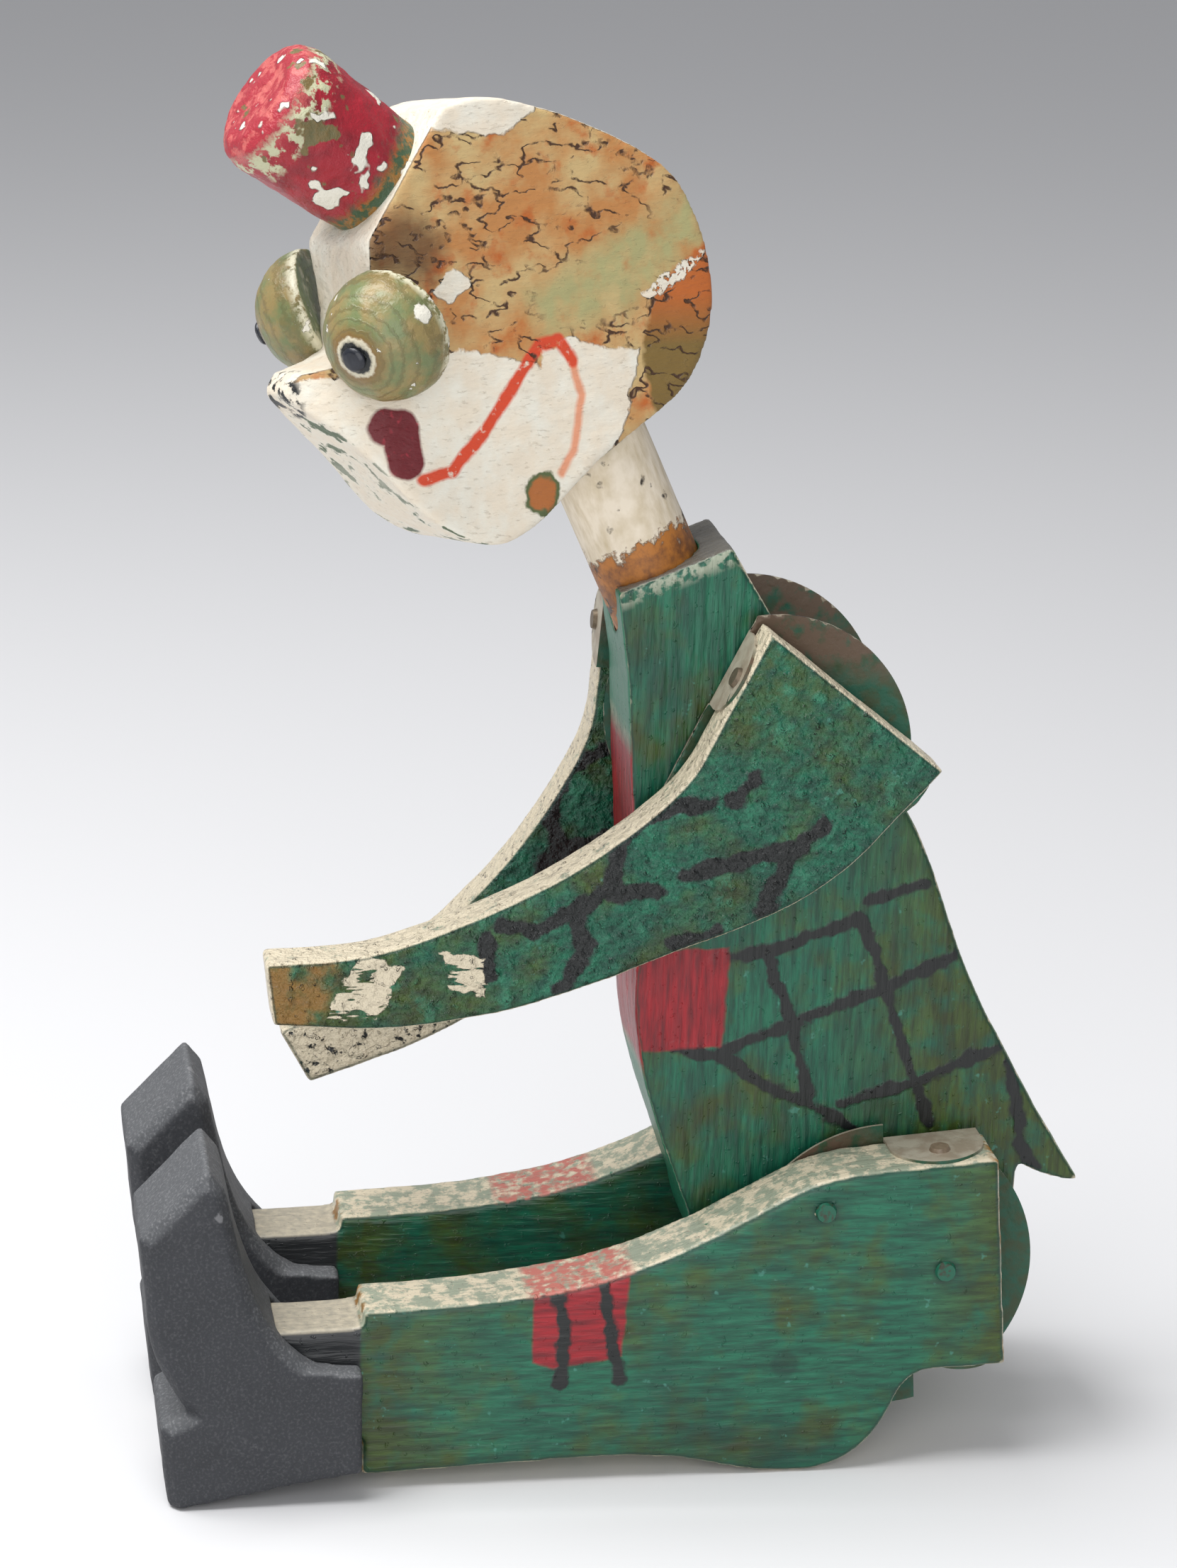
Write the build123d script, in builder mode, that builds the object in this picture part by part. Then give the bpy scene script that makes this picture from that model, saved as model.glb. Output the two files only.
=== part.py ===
"""A small jointed figure sawn from painted boards, sitting with its legs straight out.

The figure faces -Y, +X is its own left side, +Z is up, in millimetres.  It is drawn with the
floor at Z = 0 and its middle board astride X = 0, and moved at the end so that the origin is
the middle of the underside of the box that holds it.

The torso is one board.  A steel pin goes through it at the shoulders and another at the hips,
and each pin's ends are headed over inside two dished tin plates.  The tongues of every plate
are bent over the edges of a limb and nailed, so each arm and leg swings on its own plate.
The neck is a dowel that turns in a slanting hole at the top of the torso.
"""
import os
from math import cos, hypot, radians, sin, tan

from build123d import *

os.makedirs("parts", exist_ok=True)

# ---- boards and dowels -------------------------------------------------------------------
TORSO_THICK = 16.0
HEAD_THICK = 16.0
LEG_THICK = 9.5
ARM_THICK = 6.4
SHOE_THICK = 17.0
NECK_DIA = 12.7
EYE_DIA = 14.6
HAT_DIA = 16.4
EDGE_WEAR = 0.4            # width of the worn arris along the boards' edges

# ---- tin plates, pins and nails ----------------------------------------------------------
TIN = 0.4
SHOULDER_PLATE_DIA = 34.0
HIP_PLATE_DIA = 37.2
DISH_DEPTH = 1.35
PIN_DIA = 3.0
PIN_HEAD_DIA = 6.4
PIN_HEAD_THICK = 0.8
NAIL_DIA = 1.2
NAIL_HEAD_DIA = 2.6
NAIL_HEAD_THICK = 0.5
NAIL_DEPTH = 5.0

# ---- clearances --------------------------------------------------------------------------
RUN = 0.10                 # radial play of whatever turns on a pin or in a socket
FIT = 0.05                 # radial play of whatever is driven in and stays
PLATE_PLAY = 0.15          # between the torso's side and the crown of a dish
HEAD_PLAY = 0.10           # between a pin's head and the inside of the dish

# ---- where the joints are, as (y, z) -----------------------------------------------------
SHOULDER = (-4.6, 89.1)
HIP = (12.5, 22.9)
NECK_POINT = (-21.65, 116.5)   # a point on the neck's centre line
NECK_LEAN = 24.4               # degrees forward of upright
HEAD_TURN = 22.0               # degrees that the head is turned to the figure's left
RIGHT_ARM_DROP = 22.0          # degrees that the right arm hangs lower than the left one
RIGHT_ARM_SLIP = (-9.0, 2.8)   # how far forward and up the right arm is nailed on its plate

# ---- levels across the figure, worked out from the above ---------------------------------
TORSO_SIDE = TORSO_THICK / 2
DISH_CROWN = TORSO_SIDE + PLATE_PLAY
LIMB_INNER = DISH_CROWN + DISH_DEPTH + TIN
LEG_OUTER = LIMB_INNER + LEG_THICK
ARM_OUTER = LIMB_INNER + ARM_THICK
SHOE_MIDDLE = LIMB_INNER + LEG_THICK / 2

# ---- legs and shoes ----------------------------------------------------------------------
CUFF_Y = -53.0
CUFF_TOP = 23.1
CUFF_BOTTOM = 1.8
HIP_TOP_FRONT = (8.0, 39.0)
HIP_TOP_BACK = (23.8, 40.3)
HIP_LOW_BACK = (26.2, 13.2)
HIP_LOW_FRONT = (16.8, 12.8)
ANKLE_TOP = 21.2
ANKLE_BOTTOM = 7.0
ANKLE_TIP = -67.0
SHOE_BACK = -54.6
SHOE_BACK_LOW = 4.0
SHOE_BACK_TOP = 16.8
SOLE_FOOT = -76.4              # where the sole's plane meets the floor
SOLE_LEAN = 5.7                # degrees that the sole leans out over its toe
HEEL_HEIGHT = 10.6
BALL_START = 22.5
TOE_CORNER = 34.6
TOE_TIP = (-71.8, 43.1)
ARCH_NOTCH = (-73.9, 12.3)
SHOE_CHAMFER = 1.3

# ---- arms --------------------------------------------------------------------------------
ARM_TOP_END = (-6.4, 105.4)
ARM_TOP_BEND = (-13.9, 90.3)
ARM_LOW_END = (15.0, 88.4)
ARM_LOW_BEND = (7.0, 79.6)
HAND_TOP = (-64.8, 66.3)
HAND_LOW = (-63.8, 58.5)

# ---- head --------------------------------------------------------------------------------
BROW_TOP = (-51.6, 163.8)      # upper end of the flat that the hat is fixed on
BROW_LOW = (-61.3, 151.4)
NOSE_LOW = (-64.8, 130.2)
NOSE_TIP = (-66.5, 132.4)
NOSE_TOP = (-64.9, 134.6)
EYE_LEDGE = (-61.4, 136.6)     # under the eyes, on top of the muzzle
HAT_LENGTH = 13.0
HAT_TAPER = 1.0                # how much narrower the hat is at the head
HAT_ROUND = 1.6
EYE_SEAT = (9.7, -56.1, 139.1) # middle of the left eye's flat back, head facing forward
EYE_OUT = 22.0                 # degrees that an eye looks outwards
EYE_DOWN = 12.0                # degrees that it looks down
EYE_RIM = 0.8
PUPIL_DIA = 3.4
PUPIL_PROUD = 0.9
PUPIL_DEPTH = 7.0
PUPIL_INSET = 3.2              # how far the nail is from the eye's middle, towards the ridge
NECK_IN_HEAD = 12.0            # how far the dowel goes into the head, from NECK_POINT up
NECK_IN_TORSO = 17.0           # and how far down into the torso
NECK_TOP_REACH = 22.0

# ---- tongues of the plates: middle along the limb's edge and half width ------------------
SHOULDER_TAB_AT = 6.8          # from ARM_TOP_END
SHOULDER_TAB_HALF = 5.0
ARMPIT_TAB_AT = 5.0            # from ARM_LOW_END
ARMPIT_TAB_HALF = 4.0
HIP_TAB_AT = 6.4               # from HIP_TOP_BACK
HIP_TAB_HALF = 5.8
SEAT_TAB_AT = 4.9              # from HIP_LOW_BACK
SEAT_TAB_HALF = 4.4
TAB_SHORT = 0.7                # how far a tongue stops before the limb's outer face
LEG_FACE_NAILS = [(17.9, 26.0), (2.7, 34.2)]

finished = {}


def keep(part, name):
    """Give a finished piece its name and put it with the others."""
    part.label = name
    finished[name] = part


def side_plane(level):
    """The plane at X = level whose own axes are Y and Z."""
    return Plane.YZ.offset(level)


def mirrored(part):
    """The same piece for the figure's right side."""
    return part.mirror(Plane.YZ)


def along_x(point):
    """The axis through a (y, z) point, across the figure."""
    return Axis((0, point[0], point[1]), (1, 0, 0))


def unit(start, end):
    """Unit vector from one (y, z) point to another."""
    length = hypot(end[0] - start[0], end[1] - start[1])
    return ((end[0] - start[0]) / length, (end[1] - start[1]) / length)


def sole_y(z):
    """Where the sole's plane is at a height."""
    return SOLE_FOOT - z * tan(radians(SOLE_LEAN))


# ---- neck's and head's placing -----------------------------------------------------------
NECK_UP = Vector(0, -sin(radians(NECK_LEAN)), cos(radians(NECK_LEAN)))
NECK_AXIS = Axis((0, NECK_POINT[0], NECK_POINT[1]), NECK_UP)


def neck_plane(distance):
    """The plane square to the neck, a distance up its centre line from NECK_POINT."""
    origin = Vector(0, NECK_POINT[0], NECK_POINT[1]) + NECK_UP * distance
    return Plane(origin, x_dir=(1, 0, 0), z_dir=NECK_UP)


# ---- torso -------------------------------------------------------------------------------
def make_torso():
    """Side outline with the coat's tail, the socket for the neck and two pin holes."""
    with BuildPart() as torso:
        with BuildSketch(side_plane(-TORSO_SIDE)):
            with BuildLine():
                Line((-23.2, 108.3), (-9.9, 113.7))
                Line((-9.9, 113.7), (-5.2, 106.2))
                Spline((-5.2, 106.2), (5.0, 91.4), (14.1, 78.7), (20.1, 63.6), (26.6, 50.4), (37.4, 32.4))
                ThreePointArc((37.4, 32.4), (33.2, 33.3), (29.2, 35.2))
                Spline((29.2, 35.2), (28.6, 26.0), (24.5, 14.6), (12.5, 9.2), (-1.0, 13.4), (-12.1, 30.0))
                Spline((-12.1, 30.0), (-16.6, 42.5), (-18.9, 52.0), (-19.4, 62.0))
                Line((-19.4, 62.0), (-21.7, 98.0))
                Line((-21.7, 98.0), (-23.2, 108.3))
            make_face()
        extrude(amount=TORSO_THICK)
        for point in (SHOULDER, HIP):
            with BuildSketch(side_plane(-TORSO_SIDE)):
                with Locations(point):
                    Circle(PIN_DIA / 2 + FIT)
            extrude(amount=TORSO_THICK, mode=Mode.SUBTRACT)
        with BuildSketch(neck_plane(-NECK_IN_TORSO)):
            Circle(NECK_DIA / 2 + RUN)
        extrude(amount=NECK_IN_TORSO + NECK_IN_HEAD, mode=Mode.SUBTRACT)
    keep(torso.part, "torso")


def make_pin(point, name):
    """A steel pin through the torso, headed over inside the two dishes."""
    head_start = DISH_CROWN + TIN + HEAD_PLAY
    with BuildPart() as pin:
        with BuildSketch(Plane((0, point[0], point[1]), x_dir=(1, 0, 0), z_dir=(0, 0, 1))):
            with BuildLine():
                Polyline(
                    (0, 0), (head_start + PIN_HEAD_THICK, 0),
                    (head_start + PIN_HEAD_THICK, PIN_DIA / 2),
                )
                ThreePointArc(
                    (head_start + PIN_HEAD_THICK, PIN_DIA / 2),
                    (head_start + PIN_HEAD_THICK * 0.8, PIN_HEAD_DIA * 0.4),
                    (head_start + PIN_HEAD_THICK * 0.3, PIN_HEAD_DIA / 2),
                )
                Polyline(
                    (head_start + PIN_HEAD_THICK * 0.3, PIN_HEAD_DIA / 2),
                    (head_start, PIN_HEAD_DIA / 2), (head_start, PIN_DIA / 2), (0, PIN_DIA / 2), (0, 0),
                )
            make_face()
        revolve(axis=along_x(point))
        mirror(about=Plane.YZ)
    keep(pin.part, name)


# ---- legs --------------------------------------------------------------------------------
def make_leg():
    """The left leg: a trouser leg with its cuff, and the narrow ankle that goes into the shoe."""
    with BuildPart() as leg:
        with BuildSketch(side_plane(LIMB_INNER)):
            with BuildLine():
                Spline((CUFF_Y, CUFF_TOP), (-34.0, 24.4), (-20.4, 27.4), (-4.3, 34.9), HIP_TOP_FRONT,
                       tangents=[(1, 0.04), unit(HIP_TOP_FRONT, HIP_TOP_BACK)])
                Line(HIP_TOP_FRONT, HIP_TOP_BACK)
                Line(HIP_TOP_BACK, HIP_LOW_BACK)
                Line(HIP_LOW_BACK, HIP_LOW_FRONT)
                Spline(HIP_LOW_FRONT, (11.6, 7.4), (7.0, 1.9), (0.0, 0.0), (-13.3, 2.2), (-28.0, 2.8),
                       (CUFF_Y, CUFF_BOTTOM), tangents=[unit(HIP_LOW_BACK, HIP_LOW_FRONT), (-1, -0.04)])
                Line((CUFF_Y, CUFF_BOTTOM), (CUFF_Y, CUFF_TOP))
            make_face()
        extrude(amount=LEG_THICK)
        faces = leg.faces().sort_by(Axis.X)
        chamfer(faces[0].edges() + faces[-1].edges(), EDGE_WEAR)
        with BuildSketch(side_plane(LIMB_INNER)):
            with BuildLine():
                Polyline(
                    (CUFF_Y + 1, ANKLE_TOP), (ANKLE_TIP, ANKLE_TOP - 0.4), (ANKLE_TIP, ANKLE_BOTTOM),
                    (CUFF_Y + 1, ANKLE_BOTTOM), (CUFF_Y + 1, ANKLE_TOP),
                )
            make_face()
        extrude(amount=LEG_THICK)
        for place in nail_places("leg"):
            with BuildSketch(place):
                Circle(NAIL_DIA / 2 + FIT)
            extrude(amount=-(NAIL_DEPTH + FIT), mode=Mode.SUBTRACT)
    return leg.part


def make_shoe():
    """The left shoe: a carved block with heel and arch, mortised for the ankle."""
    with BuildPart() as shoe:
        with BuildSketch(side_plane(SHOE_MIDDLE - SHOE_THICK / 2)):
            with BuildLine():
                Line((SHOE_BACK, SHOE_BACK_TOP), (SHOE_BACK, SHOE_BACK_LOW))
                Line((SHOE_BACK, SHOE_BACK_LOW), (sole_y(0), 0))
                Line((sole_y(0), 0), (sole_y(HEEL_HEIGHT), HEEL_HEIGHT))
                Line((sole_y(HEEL_HEIGHT), HEEL_HEIGHT), ARCH_NOTCH)
                ThreePointArc(ARCH_NOTCH, (-76.9, 17.0), (sole_y(BALL_START), BALL_START))
                Line((sole_y(BALL_START), BALL_START), (sole_y(TOE_CORNER), TOE_CORNER))
                Line((sole_y(TOE_CORNER), TOE_CORNER), TOE_TIP)
                Line(TOE_TIP, (-69.8, 40.6))
                Spline((-69.8, 40.6), (-68.1, 33.0), (-65.9, 26.0), (-62.4, 20.4), (-58.8, 17.2))
                Line((-58.8, 17.2), (SHOE_BACK, SHOE_BACK_TOP))
            make_face()
        extrude(amount=SHOE_THICK)
        sides = shoe.faces().group_by(Axis.X)
        outer_edges = sides[0].edges() + sides[-1].edges()
        chamfer(outer_edges.filter_by_position(Axis.Y, -90, -66.0), SHOE_CHAMFER)
        with BuildSketch(side_plane(LIMB_INNER - FIT)):
            with BuildLine():
                Polyline(
                    (CUFF_Y + 1, ANKLE_TOP + FIT), (ANKLE_TIP - FIT, ANKLE_TOP + FIT),
                    (ANKLE_TIP - FIT, ANKLE_BOTTOM - FIT), (CUFF_Y + 1, ANKLE_BOTTOM - FIT),
                    (CUFF_Y + 1, ANKLE_TOP + FIT),
                )
            make_face()
        extrude(amount=LEG_THICK + 2 * FIT, mode=Mode.SUBTRACT)
    return shoe.part


# ---- arms --------------------------------------------------------------------------------
def make_arm():
    """The left arm: one curved board from the shoulder to a blunt hand."""
    with BuildPart() as arm:
        with BuildSketch(side_plane(LIMB_INNER)):
            with BuildLine():
                Line(ARM_TOP_END, ARM_TOP_BEND)
                Spline(ARM_TOP_BEND, (-20.0, 83.3), (-28.4, 77.2), (-39.0, 71.8), (-49.5, 67.9), HAND_TOP,
                       tangents=[(-0.445, -0.896), (-1, -0.02)])
                Line(HAND_TOP, HAND_LOW)
                Spline(HAND_LOW, (-51.5, 57.9), (-32.6, 60.7), (-13.9, 67.4), ARM_LOW_BEND,
                       tangents=[(1, -0.05), unit(ARM_LOW_BEND, ARM_LOW_END)])
                Line(ARM_LOW_BEND, ARM_LOW_END)
                Line(ARM_LOW_END, ARM_TOP_END)
            make_face()
        extrude(amount=ARM_THICK)
        faces = arm.faces().sort_by(Axis.X)
        chamfer(faces[0].edges() + faces[-1].edges(), EDGE_WEAR)
        for place in nail_places("arm"):
            with BuildSketch(place):
                Circle(NAIL_DIA / 2 + FIT)
            extrude(amount=-(NAIL_DEPTH + FIT), mode=Mode.SUBTRACT)
    return arm.part


# ---- tongues and nails -------------------------------------------------------------------
def tongues(limb):
    """Each tongue of a limb's plate: middle, direction along the edge, outward normal, half width."""
    if limb == "leg":
        edges = [
            (HIP_TOP_BACK, HIP_TOP_FRONT, HIP_TAB_AT, HIP_TAB_HALF, 1),
            (HIP_LOW_BACK, HIP_LOW_FRONT, SEAT_TAB_AT, SEAT_TAB_HALF, -1),
        ]
    else:
        edges = [
            (ARM_TOP_END, ARM_TOP_BEND, SHOULDER_TAB_AT, SHOULDER_TAB_HALF, 1),
            (ARM_LOW_END, ARM_LOW_BEND, ARMPIT_TAB_AT, ARMPIT_TAB_HALF, -1),
        ]
    found = []
    for start, end, distance, half, hand in edges:
        way = unit(start, end)
        normal = (way[1] * hand, -way[0] * hand)
        middle = (start[0] + way[0] * distance, start[1] + way[1] * distance)
        found.append((middle, way, normal, half))
    return found


def nail_places(limb):
    """Each nail of a limb, as the plane on the wood under its head with the nail going down."""
    thick = LEG_THICK if limb == "leg" else ARM_THICK
    places = []
    for middle, way, normal, half in tongues(limb):
        places.append(Plane((LIMB_INNER + thick * 0.55, middle[0], middle[1]),
                            x_dir=(1, 0, 0), z_dir=(0, normal[0], normal[1])))
    if limb == "leg":
        for point in LEG_FACE_NAILS:
            places.append(Plane((LEG_OUTER, point[0], point[1]), x_dir=(0, 1, 0), z_dir=(1, 0, 0)))
    return places


def make_nails(limb):
    """The nails of a limb: those through the tongues stand on the tin, the others on the wood."""
    with BuildPart() as nails:
        for number, place in enumerate(nail_places(limb)):
            lift = TIN if number < len(tongues(limb)) else 0
            with BuildSketch(place.offset(-NAIL_DEPTH)):
                Circle(NAIL_DIA / 2)
            extrude(amount=NAIL_DEPTH + lift)
            with BuildSketch(place.offset(lift)):
                Circle(NAIL_HEAD_DIA / 2)
            extrude(amount=NAIL_HEAD_THICK, taper=20)
    return nails.part


# ---- tin plates --------------------------------------------------------------------------
def make_plate(limb, pivot, diameter):
    """A dished tin disc with two tongues bent over the limb's edges."""
    radius = diameter / 2
    rim = DISH_CROWN + DISH_DEPTH
    thick = LEG_THICK if limb == "leg" else ARM_THICK
    half_rise = DISH_CROWN + DISH_DEPTH / 4
    hole = PIN_DIA / 2 + RUN
    with BuildPart() as plate:
        with BuildSketch(Plane((0, pivot[0], pivot[1]), x_dir=(1, 0, 0), z_dir=(0, 0, 1))):
            with BuildLine():
                ThreePointArc((DISH_CROWN, 0), (half_rise, radius / 2), (rim, radius))
                Line((rim, radius), (rim + TIN, radius))
                ThreePointArc((rim + TIN, radius), (half_rise + TIN, radius / 2), (DISH_CROWN + TIN, 0))
                Line((DISH_CROWN + TIN, 0), (DISH_CROWN, 0))
            make_face()
        revolve(axis=along_x(pivot))
        for middle, way, normal, half in tongues(limb):
            flat = Plane((0, middle[0], middle[1]), x_dir=(0, way[0], way[1]), z_dir=(1, 0, 0))
            side = 1 if flat.y_dir.dot(Vector(0, normal[0], normal[1])) > 0 else -1
            reach = abs((middle[0] - pivot[0]) * normal[0] + (middle[1] - pivot[1]) * normal[1])
            with BuildSketch(flat):
                with Locations((0, side * radius)):
                    Rectangle(2 * half, 2 * radius)
            extrude(amount=LEG_OUTER, mode=Mode.SUBTRACT)
            root = DISH_CROWN + DISH_DEPTH * min(reach / radius, 1) ** 2
            web = max(reach - radius, 0) + radius * 0.25
            if reach > radius * 0.8:
                with BuildSketch(flat.offset(rim)):
                    with Locations((0, side * (TIN - web) / 2)):
                        Rectangle(2 * half, TIN + web)
                extrude(amount=TIN)
                root = rim
            with BuildSketch(Plane((0, middle[0], middle[1]), x_dir=(1, 0, 0),
                                   z_dir=(0, normal[0], normal[1]))):
                straight = LIMB_INNER + thick - TAB_SHORT - half
                with BuildLine():
                    Polyline((straight, half), (root, half), (root, -half), (straight, -half))
                    ThreePointArc((straight, -half), (LIMB_INNER + thick - TAB_SHORT, 0), (straight, half))
                make_face()
            extrude(amount=TIN)
            with BuildSketch(Plane((LIMB_INNER + thick * 0.55, middle[0], middle[1]),
                                   x_dir=(1, 0, 0), z_dir=(0, normal[0], normal[1]))):
                Circle(NAIL_DIA / 2 + FIT)
            extrude(amount=TIN, mode=Mode.SUBTRACT)
        with BuildSketch(side_plane(0)):
            with Locations(pivot):
                Circle(hole)
        extrude(amount=LIMB_INNER, mode=Mode.SUBTRACT)
    return plate.part


# ---- neck, head, hat and eyes ------------------------------------------------------------
def make_neck():
    """The dowel between torso and head."""
    with BuildPart() as neck:
        with BuildSketch(neck_plane(-NECK_IN_TORSO + FIT)):
            Circle(NECK_DIA / 2)
        extrude(amount=NECK_IN_TORSO - FIT + NECK_TOP_REACH)
    return neck.part


def eye_plane(hand):
    """The flat that an eye is fixed on; hand is 1 for the left eye and -1 for the right."""
    outward = sin(radians(EYE_OUT)) * cos(radians(EYE_DOWN)) * hand
    forward = -cos(radians(EYE_OUT)) * cos(radians(EYE_DOWN))
    normal = Vector(outward, forward, -sin(radians(EYE_DOWN)))
    return Plane((EYE_SEAT[0] * hand, EYE_SEAT[1], EYE_SEAT[2]), x_dir=(cos(radians(EYE_OUT)),
                 hand * sin(radians(EYE_OUT)), 0), z_dir=normal)


def pupil_plane(hand):
    """The place of an eye's nail, on the same flat."""
    base = eye_plane(hand)
    return Plane(base.origin - base.x_dir * PUPIL_INSET * hand, x_dir=base.x_dir, z_dir=base.z_dir)


def hat_plane():
    """The flat on the brow, looking out along the hat."""
    way = unit(BROW_LOW, BROW_TOP)
    middle = ((BROW_TOP[0] + BROW_LOW[0]) / 2, (BROW_TOP[1] + BROW_LOW[1]) / 2)
    return Plane((0, middle[0], middle[1]), x_dir=(1, 0, 0), z_dir=(0, -way[1], way[0]))


def make_head():
    """The head board, facing forward, with the hat's flat, the eyes' seats and the neck's hole."""
    with BuildPart() as head:
        with BuildSketch(side_plane(-HEAD_THICK / 2)):
            with BuildLine():
                Spline(BROW_TOP, (-42.5, 164.7), (-30.5, 161.9), (-18.3, 155.3), (-13.5, 143.0),
                       (-16.8, 131.8), (-28.6, 123.4), (-37.2, 116.2), (-43.5, 114.2), (-50.9, 117.6),
                       (-57.6, 126.0), NOSE_LOW, tangents=[(1, 0.25), (-1, 0.2)])
                ThreePointArc(NOSE_LOW, NOSE_TIP, NOSE_TOP)
                Line(NOSE_TOP, EYE_LEDGE)
                Line(EYE_LEDGE, BROW_LOW)
                Line(BROW_LOW, BROW_TOP)
            make_face()
        extrude(amount=HEAD_THICK)
        for hand in (1, -1):
            with BuildSketch(eye_plane(hand)):
                Circle(EYE_DIA / 2 + FIT)
            extrude(amount=EYE_DIA, mode=Mode.SUBTRACT)
            with BuildSketch(pupil_plane(hand)):
                Circle(NAIL_DIA / 2 + FIT)
            extrude(amount=-(PUPIL_DEPTH + FIT), mode=Mode.SUBTRACT)
        with BuildSketch(neck_plane(0)):
            Circle(NECK_DIA / 2 + FIT)
        extrude(amount=NECK_TOP_REACH + FIT, mode=Mode.SUBTRACT)
    return head.part


def make_hat():
    """A stubby drum with rounded rims, a little narrower where it meets the brow."""
    with BuildPart() as hat:
        with BuildSketch(hat_plane()):
            Circle((HAT_DIA - HAT_TAPER) / 2)
        with BuildSketch(hat_plane().offset(HAT_LENGTH)):
            Circle(HAT_DIA / 2)
        loft()
        fillet(hat.edges().sort_by(Axis((0, 0, 0), hat_plane().z_dir))[-1], HAT_ROUND)
    return hat.part


def make_eye(hand):
    """A turned half ball with a short straight rim, drilled for its nail."""
    base = eye_plane(hand)
    turn = Plane(base.origin, x_dir=base.z_dir, z_dir=base.y_dir)
    radius = EYE_DIA / 2
    slant = radius * sin(radians(45))
    with BuildPart() as eye:
        with BuildSketch(turn):
            with BuildLine():
                Polyline((EYE_RIM + radius, 0), (0, 0), (0, radius), (EYE_RIM, radius))
                ThreePointArc((EYE_RIM, radius), (EYE_RIM + slant, slant), (EYE_RIM + radius, 0))
            make_face()
        revolve(axis=Axis(base.origin, base.z_dir))
        with BuildSketch(pupil_plane(hand)):
            Circle(NAIL_DIA / 2 + FIT)
        extrude(amount=EYE_DIA, mode=Mode.SUBTRACT)
    return eye.part


def make_pupil(hand):
    """The black nail that holds an eye on and is its pupil."""
    base = pupil_plane(hand)
    near_edge = PUPIL_INSET - PUPIL_DIA / 2
    top = EYE_RIM + (EYE_DIA ** 2 / 4 - near_edge ** 2) ** 0.5
    with BuildPart() as pupil:
        with BuildSketch(base.offset(-PUPIL_DEPTH)):
            Circle(NAIL_DIA / 2)
        extrude(amount=PUPIL_DEPTH + top)
        with BuildSketch(base.offset(top)):
            Circle(PUPIL_DIA / 2)
        extrude(amount=PUPIL_PROUD, taper=15)
    return pupil.part


# ---- the whole figure --------------------------------------------------------------------
def turned_head(part):
    """Turn a piece of the head about the neck."""
    return part.rotate(NECK_AXIS, HEAD_TURN)


def hung_right_arm(part):
    """Mirror a piece of the arm, let it drop and slip it forward on its plate."""
    slipped = mirrored(part).rotate(along_x(SHOULDER), RIGHT_ARM_DROP)
    return slipped.moved(Location((0, RIGHT_ARM_SLIP[0], RIGHT_ARM_SLIP[1])))


def right_arm_pivot():
    """Where the shoulder's axis passes, seen from the right arm's own outline."""
    turn = radians(RIGHT_ARM_DROP)
    back, down = -RIGHT_ARM_SLIP[0], -RIGHT_ARM_SLIP[1]
    return (SHOULDER[0] + back * cos(turn) + down * sin(turn),
            SHOULDER[1] - back * sin(turn) + down * cos(turn))


make_torso()
make_pin(SHOULDER, "shoulder_pin")
make_pin(HIP, "hip_pin")

leg, shoe, leg_nails = make_leg(), make_shoe(), make_nails("leg")
hip_plate = make_plate("leg", HIP, HIP_PLATE_DIA)
for side, place in (("left", lambda part: part), ("right", mirrored)):
    keep(place(leg), "leg_" + side)
    keep(place(shoe), "shoe_" + side)
    keep(place(leg_nails), "leg_nails_" + side)
    keep(place(hip_plate), "hip_plate_" + side)

arm, arm_nails = make_arm(), make_nails("arm")
keep(arm, "arm_left")
keep(arm_nails, "arm_nails_left")
keep(make_plate("arm", SHOULDER, SHOULDER_PLATE_DIA), "shoulder_plate_left")
keep(hung_right_arm(arm), "arm_right")
keep(hung_right_arm(arm_nails), "arm_nails_right")
keep(hung_right_arm(make_plate("arm", right_arm_pivot(), SHOULDER_PLATE_DIA)), "shoulder_plate_right")

keep(make_neck(), "neck")
keep(turned_head(make_head()), "head")
keep(turned_head(make_hat()), "hat")
for side, hand in (("left", 1), ("right", -1)):
    keep(turned_head(make_eye(hand)), "eye_" + side)
    keep(turned_head(make_pupil(hand)), "pupil_" + side)

boxes = [part.bounding_box() for part in finished.values()]
low = Vector(min(b.min.X for b in boxes), min(b.min.Y for b in boxes), min(b.min.Z for b in boxes))
high = Vector(max(b.max.X for b in boxes), max(b.max.Y for b in boxes), max(b.max.Z for b in boxes))
shift = Vector(-(low.X + high.X) / 2, -(low.Y + high.Y) / 2, -low.Z)
for name, part in finished.items():
    placed = part.moved(Location(shift))
    placed.label = name
    export_step(placed, "parts/" + name + ".step")

for title, point in (("shoulder", SHOULDER), ("hip", HIP), ("neck", NECK_POINT)):
    print(title, "axis at y", round(shift.Y + point[0], 3), "z", round(shift.Z + point[1], 3))
print("middle board at x", round(shift.X, 3), "shift y", round(shift.Y, 3), "z", round(shift.Z, 3))
print("box", [round(v, 2) for v in high - low])
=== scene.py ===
# %% [markdown]
# # A sitting jointed figure of painted boards
# The object is a small home-made figure sawn from thin boards, painted thickly by hand long ago
# and worn since.  Its arms and legs swing on dished tin plates, and its head turns on a dowel.
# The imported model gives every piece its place.  The boards are dressed here: each is copied,
# its sharp sawn edges are worn round, and its paint is built from nodes, stroke by stroke.

# %% Load the frame
from math import cos, radians, sin

import bpy
from mathutils import Matrix, Vector


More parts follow.
